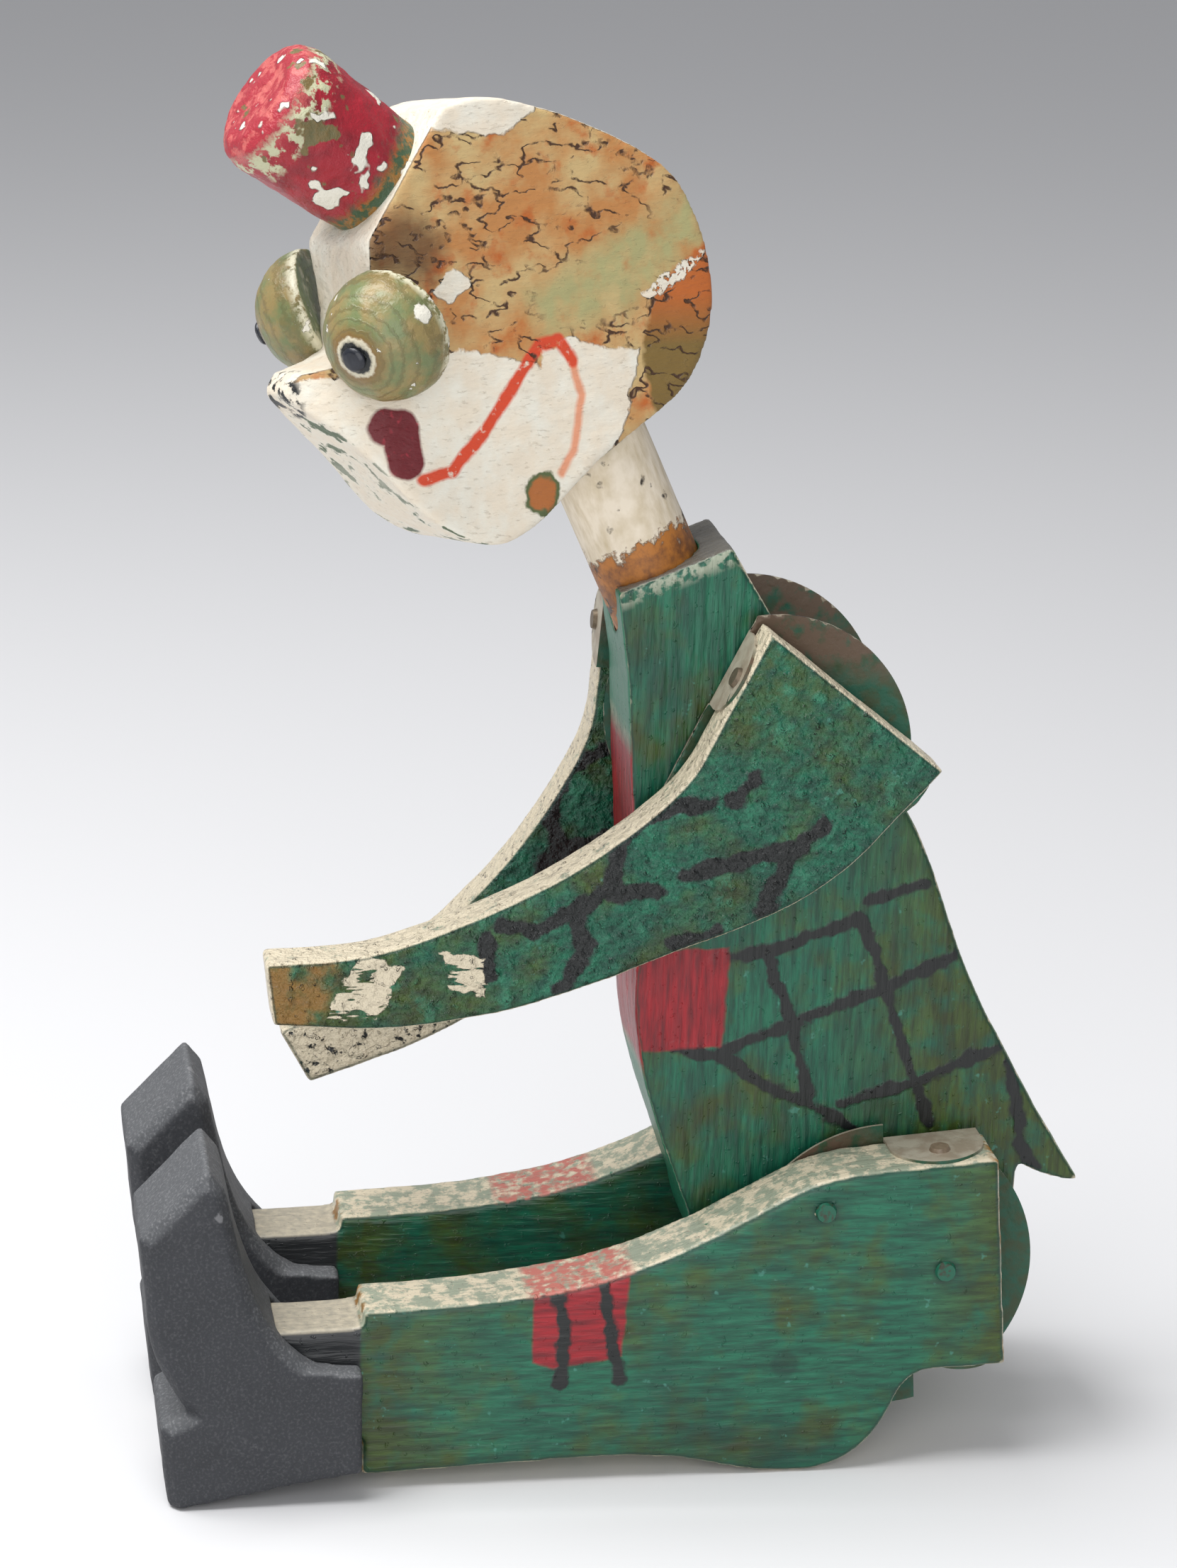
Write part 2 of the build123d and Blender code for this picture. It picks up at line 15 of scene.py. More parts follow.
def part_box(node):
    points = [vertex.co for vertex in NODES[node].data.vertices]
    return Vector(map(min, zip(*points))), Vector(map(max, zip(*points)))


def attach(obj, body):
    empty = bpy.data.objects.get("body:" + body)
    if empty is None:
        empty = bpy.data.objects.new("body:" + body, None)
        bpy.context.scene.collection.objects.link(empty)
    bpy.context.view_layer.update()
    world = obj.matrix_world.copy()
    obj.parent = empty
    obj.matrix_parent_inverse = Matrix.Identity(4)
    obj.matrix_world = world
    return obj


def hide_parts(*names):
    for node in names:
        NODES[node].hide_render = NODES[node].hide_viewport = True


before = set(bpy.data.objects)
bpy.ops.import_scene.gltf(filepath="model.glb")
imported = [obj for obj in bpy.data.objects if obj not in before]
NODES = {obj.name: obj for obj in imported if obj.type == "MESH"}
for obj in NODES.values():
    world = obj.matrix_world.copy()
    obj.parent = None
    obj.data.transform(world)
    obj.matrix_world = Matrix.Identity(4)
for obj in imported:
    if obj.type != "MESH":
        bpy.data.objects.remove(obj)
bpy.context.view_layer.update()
bpy.ops.object.select_all(action="DESELECT")

# %% [markdown]
# ## One drawing for shapes and paint
# The figure was drawn with its middle board astride x = 0 and the floor at z = 0, and then moved
# to stand over the origin.  The strokes of paint below are places on that drawing, in
# millimetres, so one known point, the left shoulder's pin, gives the way from one to the other.

# %% The drawing's place in the frame
MM = 0.001
DRAWN_SHOULDER = Vector((0, -4.6, 89.1))       # y and z of the shoulder's pin on the drawing
torso_low, torso_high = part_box("torso")
pin_low, pin_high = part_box("shoulder_pin")
pin_middle = (pin_low + pin_high) / 2
DRAWING = Vector(((torso_low.x + torso_high.x) / 2, pin_middle.y, pin_middle.z)) / MM - DRAWN_SHOULDER
print("the drawing is moved by", [round(value, 3) for value in DRAWING], "mm")


def drawn(x, y, z):
    """A point of the drawing, in metres in the frame."""
    return (Vector((x, y, z)) + DRAWING) * MM


# %% [markdown]
# ## The camera
# The photograph was taken from the figure's left, a little above it, with a long lens.  Its
# place, lens and small roll come from matching corners of the boards, the two round plates and
# the points that touch the floor.  The three columns of the camera's matrix are its right, up
# and backward directions, so they are worked out from three plain angles.

# %% Camera
PHOTO_HEIGHT = 2212            # the photograph's longer side, in pixels
FOCAL_PIXELS = 6000            # the lens, in the same pixels
FILM = 36.0                    # the longer side of the film, in millimetres
TO_FRONT = radians(9.32)       # how far the camera stands round to the figure's front
ABOVE = radians(16.97)
ROLL = radians(1.81)
CAMERA_PLACE = drawn(482.9, -104.0, 232.0)

level_right = Vector((sin(TO_FRONT), cos(TO_FRONT), 0))
backward = Vector((cos(ABOVE) * cos(TO_FRONT), -cos(ABOVE) * sin(TO_FRONT), sin(ABOVE)))
level_up = backward.cross(level_right)
right = level_right * cos(ROLL) + level_up * sin(ROLL)
up = level_up * cos(ROLL) - level_right * sin(ROLL)

lens = bpy.data.cameras.new("camera")
lens.sensor_width = FILM
lens.lens = FOCAL_PIXELS / PHOTO_HEIGHT * FILM
camera = bpy.data.objects.new("camera", lens)
bpy.context.scene.collection.objects.link(camera)
aim = Matrix((right, up, backward)).transposed().to_4x4()
camera.matrix_world = Matrix.Translation(CAMERA_PLACE) @ aim
bpy.context.scene.camera = camera
bpy.context.scene.view_settings.view_transform = "Standard"
print("lens", round(lens.lens, 1), "mm")

# %% [markdown]
# ## Floor and light
# A plain pale floor and a pale surrounding keep the eye on the object.  One large soft lamp hangs
# above and in front of the figure and lights the upper edges of the boards, as in the photograph,
# and a weaker one near the camera opens the shadows.

# %% Floor and lamps
FLOOR_SIZE = 6.0
FLOOR_COLOR = (0.74, 0.74, 0.75, 1)
FLOOR_ROUGHNESS = 0.75
SURROUND_COLOR = (0.86, 0.87, 0.90, 1)
SURROUND_LIGHT = 0.42

bpy.ops.mesh.primitive_plane_add(size=FLOOR_SIZE, location=(0, 0, 0))
floor = bpy.context.object
floor.name = "floor"
floor_paint = bpy.data.materials.new("floor_paper")
floor_paint.use_nodes = True
paper = floor_paint.node_tree.nodes["Principled BSDF"]
paper.inputs["Base Color"].default_value = FLOOR_COLOR
paper.inputs["Roughness"].default_value = FLOOR_ROUGHNESS
floor.data.materials.append(floor_paint)

world = bpy.data.worlds.new("surround")
bpy.context.scene.world = world
world.use_nodes = True
world.node_tree.nodes["Background"].inputs["Color"].default_value = SURROUND_COLOR
world.node_tree.nodes["Background"].inputs["Strength"].default_value = SURROUND_LIGHT

LAMPS = {                                       # place, size in metres and power in watts
    "overhead": (Vector((0.02, -0.28, 0.72)), 0.50, 6.6),
    "camera_side": (Vector((0.70, -0.10, 0.30)), 0.60, 2.4),
}
LOOK_AT = Vector((0, 0, 0.08))
for lamp_name, (stand, size, power) in LAMPS.items():
    lamp = bpy.data.lights.new(lamp_name, "AREA")
    lamp.size = size
    lamp.energy = power
    holder = bpy.data.objects.new(lamp_name, lamp)
    bpy.context.scene.collection.objects.link(holder)
    holder.location = stand
    holder.rotation_euler = (LOOK_AT - stand).to_track_quat("-Z", "Y").to_euler()
print("lit by", ", ".join(LAMPS))

# %% [markdown]
# ## Tools for paint
# Hand-painted boards need the same few things over and over: a place on the drawing in
# millimetres, noise of a known size, a soft step between two values, a stroke of the brush from
# one point to another and a patch with straight sides.  Each is a small function that adds a
# node or two, so a material later reads as a list of what the painter did.


# %% Small steps that every material uses
def node(tree, kind, values=None, **settings):
    """Add a shader node; values fills its sockets with numbers or with other nodes' outputs."""
    made = tree.nodes.new("ShaderNode" + kind)
    for setting, value in settings.items():
        setattr(made, setting, value)
    for socket, value in (values or {}).items():
        if isinstance(value, bpy.types.NodeSocket):
            tree.links.new(value, made.inputs[socket])
        else:
            made.inputs[socket].default_value = value
    return made


def math(tree, operation, first, second=0.0, clamp=False):
    """One sum of two numbers."""
    return node(tree, "Math", {0: first, 1: second}, operation=operation, use_clamp=clamp).outputs[0]


def step(tree, value, low, high):
    """0 where value is at low, 1 where it is at high, and a ramp between."""
    return node(tree, "MapRange", {"Value": value, "From Min": low, "From Max": high}).outputs[0]


def mix(tree, amount, under, over):
    """The colour over laid on the colour under."""
    made = node(tree, "Mix", data_type="RGBA")
    for index, value in ((0, amount), (6, under), (7, over)):
        if isinstance(value, bpy.types.NodeSocket):
            tree.links.new(value, made.inputs[index])
        else:
            made.inputs[index].default_value = value
    return made.outputs[2]


def both(tree, first, second):
    """A mask that is on where both masks are."""
    return math(tree, "MULTIPLY", first, second)


def either(tree, first, second):
    """A mask that is on where one of two masks is."""
    return math(tree, "MAXIMUM", first, second)


def off(tree, mask):
    """A mask that is on where this one is off."""
    return math(tree, "SUBTRACT", 1.0, mask)


def without(tree, mask, hole):
    """The mask, but off where the hole is on."""
    return both(tree, mask, off(tree, hole))


def thinly(tree, mask, strength):
    """A mask at a part of its strength, as paint that lets the coat below show."""
    return math(tree, "MULTIPLY", mask, strength)


def shaken(tree, spots, amount):
    """Noise as a push either way, by half the amount at most."""
    return math(tree, "MULTIPLY", math(tree, "SUBTRACT", spots, 0.5), amount)


def srgb(red, green, blue):
    """A colour as a paint chart writes it, 0 to 255, turned into the shader's linear numbers."""
    parts = [value / 255 for value in (red, green, blue)]
    linear = [((part + 0.055) / 1.055) ** 2.4 if part > 0.04 else part / 12.92 for part in parts]
    return (*linear, 1)


# %% [markdown]
# Places come from Object coordinates, which are metres in the frame and stay with a piece when
# it moves.  A board that was turned when the figure was put together is turned back first, so
# its paint is described as if it lay on the bench.

# %% Places and noise
AS_DRAWN = []                                   # no turn: the torso, the legs and the left arm


def place(tree, turns=AS_DRAWN):
    """Where a point is on the drawing, in millimetres."""
    where = node(tree, "TexCoord").outputs["Object"]
    where = node(tree, "Mapping", {"Vector": where, "Location": -DRAWING,
                                   "Scale": (1 / MM, 1 / MM, 1 / MM)}).outputs[0]
    for slip, centre, axis, angle in turns:
        where = node(tree, "VectorMath", {0: where, 1: slip}, operation="SUBTRACT").outputs[0]
        where = node(tree, "VectorRotate", {"Vector": where, "Center": centre, "Axis": axis,
                                            "Angle": -angle}).outputs[0]
    return where


def facing(tree, turns=AS_DRAWN):
    """The surface's direction on the drawing."""
    direction = node(tree, "TexCoord").outputs["Normal"]
    for slip, centre, axis, angle in turns:
        direction = node(tree, "VectorRotate", {"Vector": direction, "Axis": axis,
                                                "Angle": -angle}).outputs[0]
    return direction


def part_of(tree, vector, axis):
    """One of a vector's three numbers."""
    return node(tree, "SeparateXYZ", {0: vector}).outputs[axis]


def broad_side(tree, turns=AS_DRAWN):
    """On for a board's two broad sides, off for its sawn edges."""
    across = math(tree, "ABSOLUTE", part_of(tree, facing(tree, turns), "X"))
    return step(tree, across, 0.55, 0.8)


def stretch(tree, where, factors):
    """The same place with each direction drawn out, for streaks and grain."""
    return node(tree, "VectorMath", {0: where, 1: factors}, operation="MULTIPLY").outputs[0]


def noise(tree, where, size, detail=4.0, rough=0.55):
    """Soft noise whose spots are about size millimetres across."""
    return node(tree, "TexNoise", {"Vector": where, "Scale": 1 / size, "Detail": detail,
                                   "Roughness": rough}).outputs[0]


def cells(tree, where, size):
    """Distance to the cracks between cells about size millimetres across."""
    return node(tree, "TexVoronoi", {"Vector": where, "Scale": 1 / size, "Randomness": 0.9},
                feature="DISTANCE_TO_EDGE").outputs["Distance"]


def wobble(tree, where, size, amount):
    """A place pushed about a little, for edges that no ruler drew."""
    shake = node(tree, "TexNoise", {"Vector": where, "Scale": 1 / size, "Detail": 3.0}).outputs["Color"]
    shake = node(tree, "VectorMath", {0: shake, 1: (0.5, 0.5, 0.5)}, operation="SUBTRACT").outputs[0]
    shake = node(tree, "VectorMath", {0: shake, "Scale": amount}, operation="SCALE").outputs[0]
    return node(tree, "VectorMath", {0: where, 1: shake}, operation="ADD").outputs[0]


def on_side(tree, where):
    """A place looked at square to the board's side, so that a stroke goes through it."""
    return stretch(tree, where, (0.0, 1.0, 1.0))


def distance_to(tree, where, point):
    """Distance in millimetres to a point of the drawing."""
    return node(tree, "VectorMath", {0: where, 1: point}, operation="DISTANCE").outputs["Value"]


def away_from(tree, where, point):
    """The way from a point of the drawing to this place."""
    return node(tree, "VectorMath", {0: where, 1: point}, operation="SUBTRACT").outputs[0]


def reach(tree, way, direction):
    """How far a way goes along a direction."""
    return node(tree, "VectorMath", {0: way, 1: direction}, operation="DOT_PRODUCT").outputs["Value"]


# %% [markdown]
# A brush stroke is a row of straight runs.  The distance from a point to a run is the same small
# sum each time, so it is one node group that every stroke uses.

# %% The stroke group
stroke_group = bpy.data.node_groups.new("stroke", "ShaderNodeTree")
for socket in ("Point", "Start", "Span"):
    stroke_group.interface.new_socket(socket, in_out="INPUT", socket_type="NodeSocketVector")
stroke_group.interface.new_socket("Distance", in_out="OUTPUT", socket_type="NodeSocketFloat")
group_in = stroke_group.nodes.new("NodeGroupInput")
group_out = stroke_group.nodes.new("NodeGroupOutput")
from_start = node(stroke_group, "VectorMath", {0: group_in.outputs[0], 1: group_in.outputs[1]},
                  operation="SUBTRACT").outputs[0]
along = node(stroke_group, "VectorMath", {0: from_start, 1: group_in.outputs[2]},
             operation="DOT_PRODUCT").outputs["Value"]
whole = node(stroke_group, "VectorMath", {0: group_in.outputs[2], 1: group_in.outputs[2]},
             operation="DOT_PRODUCT").outputs["Value"]
share = math(stroke_group, "DIVIDE", along, whole, clamp=True)
nearest = node(stroke_group, "VectorMath", {0: group_in.outputs[2], "Scale": share},
               operation="SCALE").outputs[0]
offset = node(stroke_group, "VectorMath", {0: from_start, 1: nearest}, operation="SUBTRACT").outputs[0]
length = node(stroke_group, "VectorMath", {0: offset}, operation="LENGTH").outputs["Value"]
stroke_group.links.new(length, group_out.inputs[0])
print("stroke group has", len(stroke_group.nodes), "nodes")


# %% Strokes and patches as masks
def stroke_distance(tree, flat_place, points):
    """Distance in millimetres to a row of straight runs given as (y, z) points."""
    found = None
    for start, end in zip(points, points[1:]):
        run = tree.nodes.new("ShaderNodeGroup")
        run.node_tree = stroke_group
        tree.links.new(flat_place, run.inputs["Point"])
        run.inputs["Start"].default_value = (0, start[0], start[1])
        run.inputs["Span"].default_value = (0, end[0] - start[0], end[1] - start[1])
        found = run.outputs[0] if found is None else math(tree, "MINIMUM", found, run.outputs[0])
    return found


def nearest_stroke(tree, flat_place, rows):
    """Distance in millimetres to the nearest of several strokes."""
    found = None
    for points in rows:
        distance = stroke_distance(tree, flat_place, points)
        found = distance if found is None else math(tree, "MINIMUM", found, distance)
    return found


def strokes(tree, flat_place, rows, width, soft):
    """Brush strokes of one width with soft rims, each a row of (y, z) points."""
    distance = nearest_stroke(tree, flat_place, rows)
    return step(tree, distance, width / 2 + soft / 2, width / 2 - soft / 2)


def patch(tree, flat_place, corners, soft):
    """A straight-sided patch: its (y, z) corners go round so that its inside is on the left."""
    found = None
    for (y0, z0), (y1, z1) in zip(corners, corners[1:] + corners[:1]):
        size = ((y1 - y0) ** 2 + (z1 - z0) ** 2) ** 0.5
        out_y, out_z = (z1 - z0) / size, -(y1 - y0) / size
        beyond = node(tree, "VectorMath", {0: flat_place, 1: (0, out_y, out_z)},
                      operation="DOT_PRODUCT").outputs["Value"]
        beyond = math(tree, "SUBTRACT", beyond, out_y * y0 + out_z * z0)
        found = beyond if found is None else math(tree, "MAXIMUM", found, beyond)
    return step(tree, found, soft / 2, -soft / 2)


# %% [markdown]
# Every finish starts as Blender's own plain shader.  It gets one colour at the end, and its relief
# is added in layers: each new bump passes on the one before it, so thick paint can lie on grain.

# %% A finish, its relief and its colour
def painted(name, base_rough):
    """A new material; returns it, its tree and its shader."""
    made = bpy.data.materials.new(name)
    made.use_nodes = True
    shader = made.node_tree.nodes["Principled BSDF"]
    shader.inputs["Roughness"].default_value = base_rough
    return made, made.node_tree, shader


def relief(tree, shader, height, depth):
    """Raise the surface by height, a mask from 0 to 1 that stands for depth millimetres."""
    bump = node(tree, "Bump", {"Height": height, "Distance": depth * MM})
    if shader.inputs["Normal"].is_linked:
        tree.links.new(shader.inputs["Normal"].links[0].from_socket, bump.inputs["Normal"])
    tree.links.new(bump.outputs[0], shader.inputs["Normal"])


def color_of(tree, shader, color):
    """Give the shader its colour."""
    tree.links.new(color, shader.inputs["Base Color"])


def beyond(tree, where, axis, start, end):
    """Off before start and on after end, along Y or Z."""
    return step(tree, part_of(tree, where, axis), start, end)


# %% [markdown]
# ## Green boards
# The coat and trousers were painted a deep blue-green that has gone olive towards the ends of each
# board.  The brush left streaks along the grain and small pimples of thick paint.  Sawn edges
# were thinly painted in a pale sage and have worn to cream, and part of their paleness is a painted
# highlight for the light from above.  The corners have lost their paint.
# The colours are written as a paint chart gives them.  Noise of several sizes is laid over them,
# since one size alone looks like a pattern: clouds, streaks, grime and small pale spots.

# %% The green ground
TEAL = srgb(22, 106, 78)
DEEP_TEAL = srgb(6, 52, 42)
OLIVE = srgb(66, 88, 32)
DEEP_OLIVE = srgb(34, 42, 16)
SAGE = srgb(120, 138, 112)
GREY_SAGE = srgb(150, 158, 138)
CREAM = srgb(214, 202, 176)
OCHRE = srgb(146, 104, 44)
GREY_WOOD = srgb(112, 104, 92)
BLACK_PAINT = srgb(20, 24, 24)
PATCH_RED = srgb(158, 22, 34)
DARK_RED = srgb(104, 16, 26)
FADED_AND_LIT_RED = srgb(190, 112, 100)
PALE_BLUE = srgb(78, 146, 130)


def green_ground(tree, where, grain, olive):
    """Brushed green: teal that turns olive where olive is on, with streaks along the grain."""
    clouds = step(tree, noise(tree, where, 8.0), 0.47, 0.68)
    clouds = either(tree, clouds, both(tree, olive, step(tree, noise(tree, where, 4.0), 0.3, 0.55)))
    color = mix(tree, clouds, TEAL, OLIVE)
    deep = mix(tree, clouds, DEEP_TEAL, DEEP_OLIVE)
    streaks = step(tree, noise(tree, stretch(tree, where, grain), 0.7, 5.0), 0.36, 0.66)
    color = mix(tree, thinly(tree, streaks, 0.75), color, deep)
    fine = noise(tree, stretch(tree, where, grain), 0.3, 3.0)
    color = mix(tree, thinly(tree, step(tree, fine, 0.5, 0.72), 0.5), color, deep)
    grime = step(tree, noise(tree, where, 13.0, 3.0), 0.5, 0.7)
    color = mix(tree, thinly(tree, grime, 0.55), color, deep)
    pale = step(tree, noise(tree, where, 1.7, 3.0), 0.68, 0.74)
    return mix(tree, thinly(tree, pale, 0.5), color, PALE_BLUE), streaks


def brushed(tree, shader, where, grain, streaks, lines):
    """The relief of thick old paint: streaks, a slow swell, scattered pimples and black lines."""
    relief(tree, shader, streaks, 0.05)
    relief(tree, shader, noise(tree, stretch(tree, where, grain), 1.6, 3.0), 0.35)
    relief(tree, shader, step(tree, noise(tree, where, 0.8, 2.0), 0.64, 0.78), 0.12)
    relief(tree, shader, lines, 0.05)


def sharp_corner(tree, spots, amount):
    """How much a surface juts out, from 0.5 where it is flat, shaken so that no rim is even."""
    return math(tree, "ADD", node(tree, "NewGeometry").outputs["Pointiness"],
                shaken(tree, spots, amount))


def worn_and_lit_edge(tree, where, color, turns, pale=SAGE, bare=CREAM, share=0.5):
    """Sawn edges in a pale colour that is partly worn paint and partly a painted highlight for the light
    from above, worn through in blotches, and bare corners.
    """
    rough = noise(tree, where, 2.2, 6.0, 0.7)
    # The pale edge colour is partly worn paint and partly a painted highlight for the light from above.
    edge = mix(tree, step(tree, rough, share, share + 0.1), pale, bare)
    specks = step(tree, noise(tree, where, 0.5, 3.0), 0.62, 0.7)
    edge = mix(tree, thinly(tree, specks, 0.6), edge, GREY_WOOD)
    edge = mix(tree, step(tree, noise(tree, where, 1.3, 4.0), 0.7, 0.76), edge, TEAL)
    corner = sharp_corner(tree, rough, 0.14)
    side = broad_side(tree, turns)
    rim = both(tree, side, step(tree, part_of(tree, facing(tree, turns), "X"), 0.97, 0.9))
    color = mix(tree, thinly(tree, rim, 0.6), color, DEEP_TEAL)
    color = mix(tree, side, edge, color)
    return mix(tree, step(tree, corner, 0.555, 0.6), color, bare), side


def marks(tree, where, flat_place, rows, width):
    """Black lines of a loaded brush: their width swells and thins, and they break up a little."""
    swell = shaken(tree, noise(tree, where, 2.4, 3.0), 2.2)
    distance = math(tree, "SUBTRACT", nearest_stroke(tree, flat_place, rows), swell)
    return step(tree, distance, width / 2 + 0.2, width / 2 - 0.2)


# %% [markdown]
# ## Coat
# The coat is lined in black like a big uneven check, and has a red front with one red square
# that comes round onto its side.  Its lines are drawn as rows of points, one row a stroke.  Masks
# of where the surface faces tell the red front, the grey end grain and the worn collar apart.

# %% Coat
ALONG_TORSO = (1.0, 1.0, 0.12)
COAT_CHECK = [
    [(-10.1, 62.4), (-2.2, 64.1), (7.8, 67.6)],
    [(8.4, 69.5), (15.2, 71.9)],
    [(-3.6, 63.4), (-0.3, 54.6), (2.3, 44.6)],
    [(8.1, 67.6), (11.1, 59.2), (15.0, 47.7), (17.6, 41.1)],
    [(-8.9, 50.7), (-0.3, 54.2), (11.1, 58.5), (20.1, 62.8)],
    [(6.8, 43.7), (15.5, 46.1), (26.3, 50.8)],
    [(-14.7, 51.6), (-8.1, 49.9), (-1.4, 45.5), (3.9, 43.0), (9.2, 39.8)],
    [(27.3, 48.6), (29.4, 38.0), (31.3, 34.6)],
]
COLLAR_SLOPE, COLLAR_LINE = 0.406, 117.7        # the collar's upper edge: z = slope * y + line
COAT_SQUARE = [(-21.0, 51.0), (-8.6, 51.6), (-8.2, 64.2), (-21.0, 64.0)]
COAT_LINE = 1.5
END_GRAIN_DARK, END_GRAIN_PALE = srgb(66, 64, 60), srgb(124, 120, 110)
OIL_PAINT = 0.38                                # how rough the green paint is

coat_paint, tree, shader = painted("coat_paint", OIL_PAINT)
where = place(tree)
flat_place = on_side(tree, wobble(tree, where, 3.0, 1.2))
tail_side = beyond(tree, where, "Y", 4.0, 18.0)
color, streaks = green_ground(tree, where, ALONG_TORSO, tail_side)
front = step(tree, part_of(tree, facing(tree), "Y"), -0.55, -0.75)
front_red = both(tree, front, both(tree, beyond(tree, where, "Z", 47.0, 50.0),
                                   beyond(tree, where, "Z", 92.0, 88.0)))
lines = marks(tree, where, flat_place, COAT_CHECK, COAT_LINE)
color = mix(tree, lines, color, BLACK_PAINT)
red = mix(tree, streaks, PATCH_RED, DARK_RED)
color = mix(tree, patch(tree, flat_place, COAT_SQUARE, 0.4), color, red)
color, side = worn_and_lit_edge(tree, where, color, AS_DRAWN)
color = mix(tree, front_red, color, red)
color = mix(tree, without(tree, without(tree, front, front_red), side), color, TEAL)
top = both(tree, step(tree, part_of(tree, facing(tree), "Z"), 0.6, 0.8),
           beyond(tree, where, "Z", 104.0, 107.0))
grain = noise(tree, stretch(tree, where, (1.0, 0.25, 0.25)), 0.7, 4.0)
color = mix(tree, top, color, mix(tree, grain, END_GRAIN_DARK, END_GRAIN_PALE))
slope = math(tree, "MULTIPLY", part_of(tree, where, "Y"), COLLAR_SLOPE)
collar = math(tree, "SUBTRACT", part_of(tree, where, "Z"), slope)
rim_wear = both(tree, step(tree, collar, COLLAR_LINE - 2.6, COLLAR_LINE - 1.2),
                step(tree, noise(tree, where, 1.6, 5.0), 0.46, 0.54))
color = mix(tree, both(tree, rim_wear, side), color, GREY_SAGE)
color_of(tree, shader, color)
brushed(tree, shader, where, ALONG_TORSO, streaks, lines)
print("coat paint has", len(tree.nodes), "nodes")

# %% [markdown]
# ## Trousers
# Each leg is one board standing on its edge, so its grain and streaks run along Y.  A red patch
# is painted on the knee, with a black stroke down each end, and the red goes over the upper edge
# too, where it is paler, partly with age and partly as a painted highlight for the light from above.
# Each nail in the side has a darker ring round it, painted shade for the dimple it is sunk in.

# %% Trousers
ALONG_LEG = (1.0, 0.12, 1.0)
KNEE_PATCH = [(-32.6, 16.0), (-30.0, 15.0), (-21.6, 16.4), (-21.0, 27.6), (-32.6, 27.6)]
KNEE_STROKES = [
    [(-29.9, 25.6), (-28.9, 21.0), (-29.1, 13.0)],
    [(-24.4, 26.6), (-23.3, 20.8), (-21.9, 13.4)],
]
FACE_NAILS = [(17.9, 26.0), (2.7, 34.2), (-1.5, 14.5)]
ANKLE_GREY, ANKLE_DUST = srgb(40, 42, 44), srgb(124, 122, 114)

trouser_paint, tree, shader = painted("trouser_paint", OIL_PAINT)
where = place(tree)
flat_place = on_side(tree, wobble(tree, where, 3.0, 0.9))
cuff_side = beyond(tree, where, "Y", -36.0, -50.0)
hip_side = beyond(tree, where, "Y", 14.0, 24.0)
color, streaks = green_ground(tree, where, ALONG_LEG, either(tree, cuff_side, hip_side))
outside = step(tree, math(tree, "ABSOLUTE", part_of(tree, where, "X")), 12.0, 12.4)
knee = both(tree, patch(tree, flat_place, KNEE_PATCH, 0.4), outside)
color = mix(tree, knee, color, mix(tree, streaks, PATCH_RED, DARK_RED))
lines = both(tree, marks(tree, where, flat_place, KNEE_STROKES, COAT_LINE), outside)
color = mix(tree, lines, color, BLACK_PAINT)
# Around each nail a darker ring is painted shade, for the dimple that the nail is sunk in.
for nail_y, nail_z in FACE_NAILS:
    from_nail = distance_to(tree, on_side(tree, where), (0, nail_y, nail_z))
    ring = both(tree, step(tree, from_nail, 2.0, 1.4), outside)
    color = mix(tree, thinly(tree, ring, 0.6), color, DEEP_TEAL)
color, side = worn_and_lit_edge(tree, where, color, AS_DRAWN, GREY_SAGE, CREAM, 0.46)
# On the upper edge the red is paler: partly aged, partly a painted highlight for the light from above.
over_knee = both(tree, beyond(tree, where, "Y", -33.6, -32.6), beyond(tree, where, "Y", -20.0, -21.2))
over_knee = both(tree, over_knee, step(tree, part_of(tree, facing(tree), "Z"), 0.4, 0.7))
over_knee = both(tree, over_knee, step(tree, noise(tree, where, 1.2, 5.0), 0.38, 0.56))
color = mix(tree, both(tree, over_knee, beyond(tree, where, "Z", 18.0, 20.0)), color, FADED_AND_LIT_RED)
ends = either(tree, beyond(tree, where, "Y", -52.2, -52.9), beyond(tree, where, "Y", 22.6, 23.6))
ends = both(tree, without(tree, ends, side), step(tree, noise(tree, where, 1.8, 5.0), 0.5, 0.58))
color = mix(tree, ends, color, OCHRE)
ankle = beyond(tree, where, "Y", -53.1, -53.5)
dusty = step(tree, part_of(tree, facing(tree), "Z"), 0.5, 0.9)
dust = mix(tree, noise(tree, where, 1.0), ANKLE_DUST, CREAM)
color = mix(tree, ankle, color, mix(tree, dusty, ANKLE_GREY, dust))
color_of(tree, shader, color)
brushed(tree, shader, where, ALONG_LEG, streaks, lines)
print("trouser paint has", len(tree.nodes), "nodes")

# %% [markdown]
# ## Sleeves
# The sleeves carry the thickest paint.  It is blotched with paler green and ochre, has wandering
# black lines, and has flaked to cream at the cuff.  The right arm was drawn like the left and
# hangs lower, so it has its own material, which turns its places back first.

# %% Sleeves
SLEEVE_CRACKS = [
    [(-37.5, 70.6), (-33.5, 69.9), (-28.1, 72.1), (-24.2, 75.6), (-23.5, 80.4)],
    [(-23.5, 80.4), (-19.6, 84.2), (-12.8, 85.0)],
    [(-24.9, 74.3), (-18.9, 74.1)],
    [(-28.1, 70.9), (-27.1, 66.9), (-30.0, 62.5)],
    [(-38.8, 68.9), (-38.5, 64.4)],
    [(1.0, 82.2), (-3.3, 78.3), (-6.0, 71.6)],
    [(-15.7, 76.1), (-2.8, 79.5)],
    [(-11.7, 96.9), (-16.8, 90.9)],
    [(-10.1, 85.2), (-7.5, 88.0)],
    [(-16.5, 67.8), (-11.6, 68.9)],
]
CUFF_FLAKES = [
    [(-57.8, 59.7), (-51.6, 59.4), (-48.6, 65.4), (-53.8, 67.6)],
    [(-43.0, 62.8), (-38.7, 61.5), (-39.3, 66.6), (-44.4, 67.4)],
]
